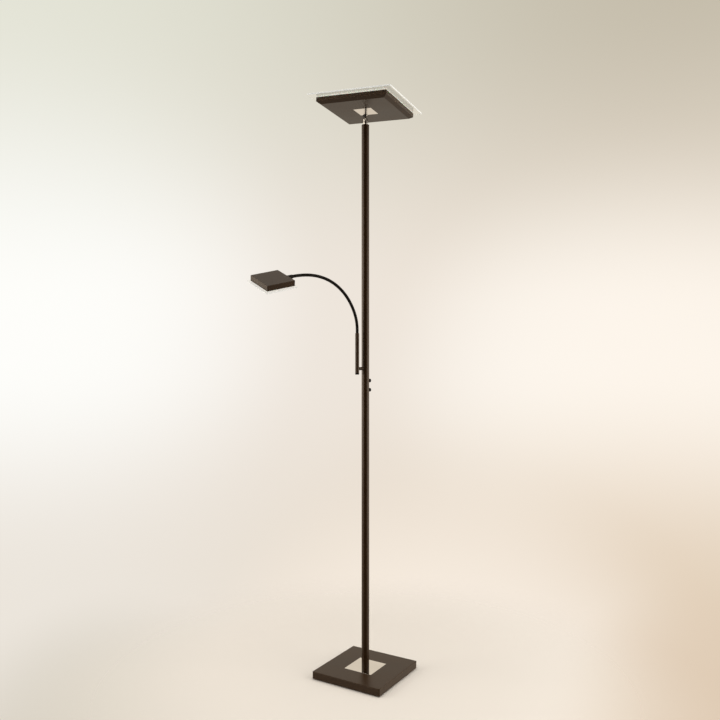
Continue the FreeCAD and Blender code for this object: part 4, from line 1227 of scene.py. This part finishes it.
# what the camera sees: a wall, cooler on the left and warmer on the right, with a pool of light on each side,
# dimmer above, and the floor's tone below. Each pool has its middle in the picture and its spread in degrees
left_pool = pool((0, 290), 24.0)
right_pool = pool((640, 400), 21.0)
floor_pool = pool((450, 720), 20.0)
dim_left = pool((100, 800), 13.5)
dim_right = pool((740, 780), 13.0)
wall = tones((0.87, 0.82, 0.765), (0.84, 0.75, 0.65))
lit_wall = tones((0.99, 0.985, 0.955), (0.985, 0.915, 0.83))
wall = blended(maths(sky, "MAXIMUM", left_pool, right_pool), wall, lit_wall)
ceiling = tones((0.77, 0.77, 0.67), (0.55, 0.50, 0.40))
upper = blended(along(upwards, 0.06, 0.46), wall, ceiling)
ground = tones((0.835, 0.785, 0.715), (0.775, 0.645, 0.505))
ground = blended(floor_pool, ground, (0.93, 0.84, 0.74))
ground = blended(dim_left, ground, (0.68, 0.63, 0.54))
ground = blended(dim_right, ground, (0.74, 0.60, 0.46))
room = blended(along(-upwards, 0.0, 0.30), upper, ground)
print("the room's tones take", len(sky.nodes), "nodes")

# %% The room that metal mirrors
dark_front = along(-looking, 0.45, 0.92, at_low=1.0, at_high=0.04)
ambient_strength = 0.36


def window(side, forward, low, high, strength):
    """A bright window in the mirrored room, a little forward of one side, from a low to a high direction."""
    edge = 0.22
    sideways = along((side - looking * forward).normalized(), 0.72, 0.97, at_high=strength)
    above = along(upwards, low - edge, low)
    below = along(upwards, high, high + edge, at_low=1.0, at_high=0.0)
    return maths(sky, "MULTIPLY", sideways, maths(sky, "MULTIPLY", above, below))


left_window = window(-right_hand, forward=0.10, low=0.0, high=0.14, strength=9.0)
right_window = window(right_hand, forward=0.12, low=-0.14, high=0.04, strength=5.0)
windows = maths(sky, "ADD", left_window, right_window)
mirrored_tone = blended(along(upwards, 0.40, 0.75), (0.755, 0.66, 0.535), (0.735, 0.68, 0.60))
mirrored = background(mirrored_tone, maths(sky, "ADD", dark_front, windows))
ambient = background((0.95, 0.93, 0.9, 1.0), maths(sky, "MULTIPLY", dark_front, ambient_strength))
# light that leaves a glass plate comes from the room, also after bouncing about inside it
in_glass = maths(sky, "GREATER_THAN", path.outputs["Transmission Depth"], 0.5)
direct = maths(sky, "MAXIMUM", path.outputs["Is Camera Ray"], in_glass)
other = either(path.outputs["Is Glossy Ray"], ambient, mirrored)
world_out = sky.nodes.new("ShaderNodeOutputWorld")
sky.links.new(either(direct, other, background(room)), world_out.inputs["Surface"])
print("world built with", len(sky.nodes), "nodes")

# %% Floor
floor_radius = 7.0
solid_to = 0.3
gone_from = 1.1

deselect()
bpy.ops.mesh.primitive_circle_add(vertices=128, radius=floor_radius, fill_type="NGON", location=(0, 0, 0))
floor = named("floor")
floor.visible_glossy = False
floor_finish = bpy.data.materials.new("pale_floor")
floor_finish.use_nodes = True
tree = floor_finish.node_tree
principled = tree.nodes["Principled BSDF"]
principled.inputs["Base Color"].default_value = (0.90, 0.835, 0.75, 1.0)
principled.inputs["Roughness"].default_value = 0.9
principled.inputs["Specular IOR Level"].default_value = 0.1
where = tree.nodes.new("ShaderNodeTexCoord")
distance = measure(tree, "LENGTH", where.outputs["Object"])
fade = carried(tree, distance, solid_to, gone_from, at_low=1.0, at_high=0.0)
# seen from underneath, the floor isn't there
side_seen = tree.nodes.new("ShaderNodeNewGeometry")
from_above = maths(tree, "SUBTRACT", fade, side_seen.outputs["Backfacing"], clamp=True)
tree.links.new(from_above, principled.inputs["Alpha"])
floor.data.materials.append(floor_finish)
print("floor", 2.0 * floor_radius, "m across, gone from", gone_from, "m outwards")

# %% Lamps


def softbox(name, location, aim, width, height, power):
    """A rectangular soft lamp that points at a place."""
    light = bpy.data.lights.new(name, "AREA")
    light.shape = "RECTANGLE"
    light.size = width
    light.size_y = height
    light.energy = power
    light.color = (1.0, 0.97, 0.93)
    box = bpy.data.objects.new(name, light)
    box.location = location
    box.rotation_euler = (aim - location).to_track_quat("-Z", "Y").to_euler()
    # bright metal mirrors the windows of the world instead
    box.visible_glossy = False
    bpy.context.scene.collection.objects.link(box)


# high and large, so that the head high up is hardly lit more than the base
softbox("ceiling_light", upwards * 9.0, Vector((0, 0, 0)), width=8.0, height=8.0, power=390.0)
strip_distance = 2.2
strip_aim = upwards * 1.1
right_way = Vector((0.993, 0.111, 0.0))
left_way = Vector((-0.773, -0.635, 0.0))
softbox("right_strip", right_way * strip_distance + upwards * 1.35, strip_aim, width=1.5, height=2.0,
        power=26.0)
softbox("left_strip", left_way * strip_distance + upwards * 1.3, strip_aim, width=1.2, height=2.0, power=19.0)

bpy.context.scene.view_settings.view_transform = "Standard"
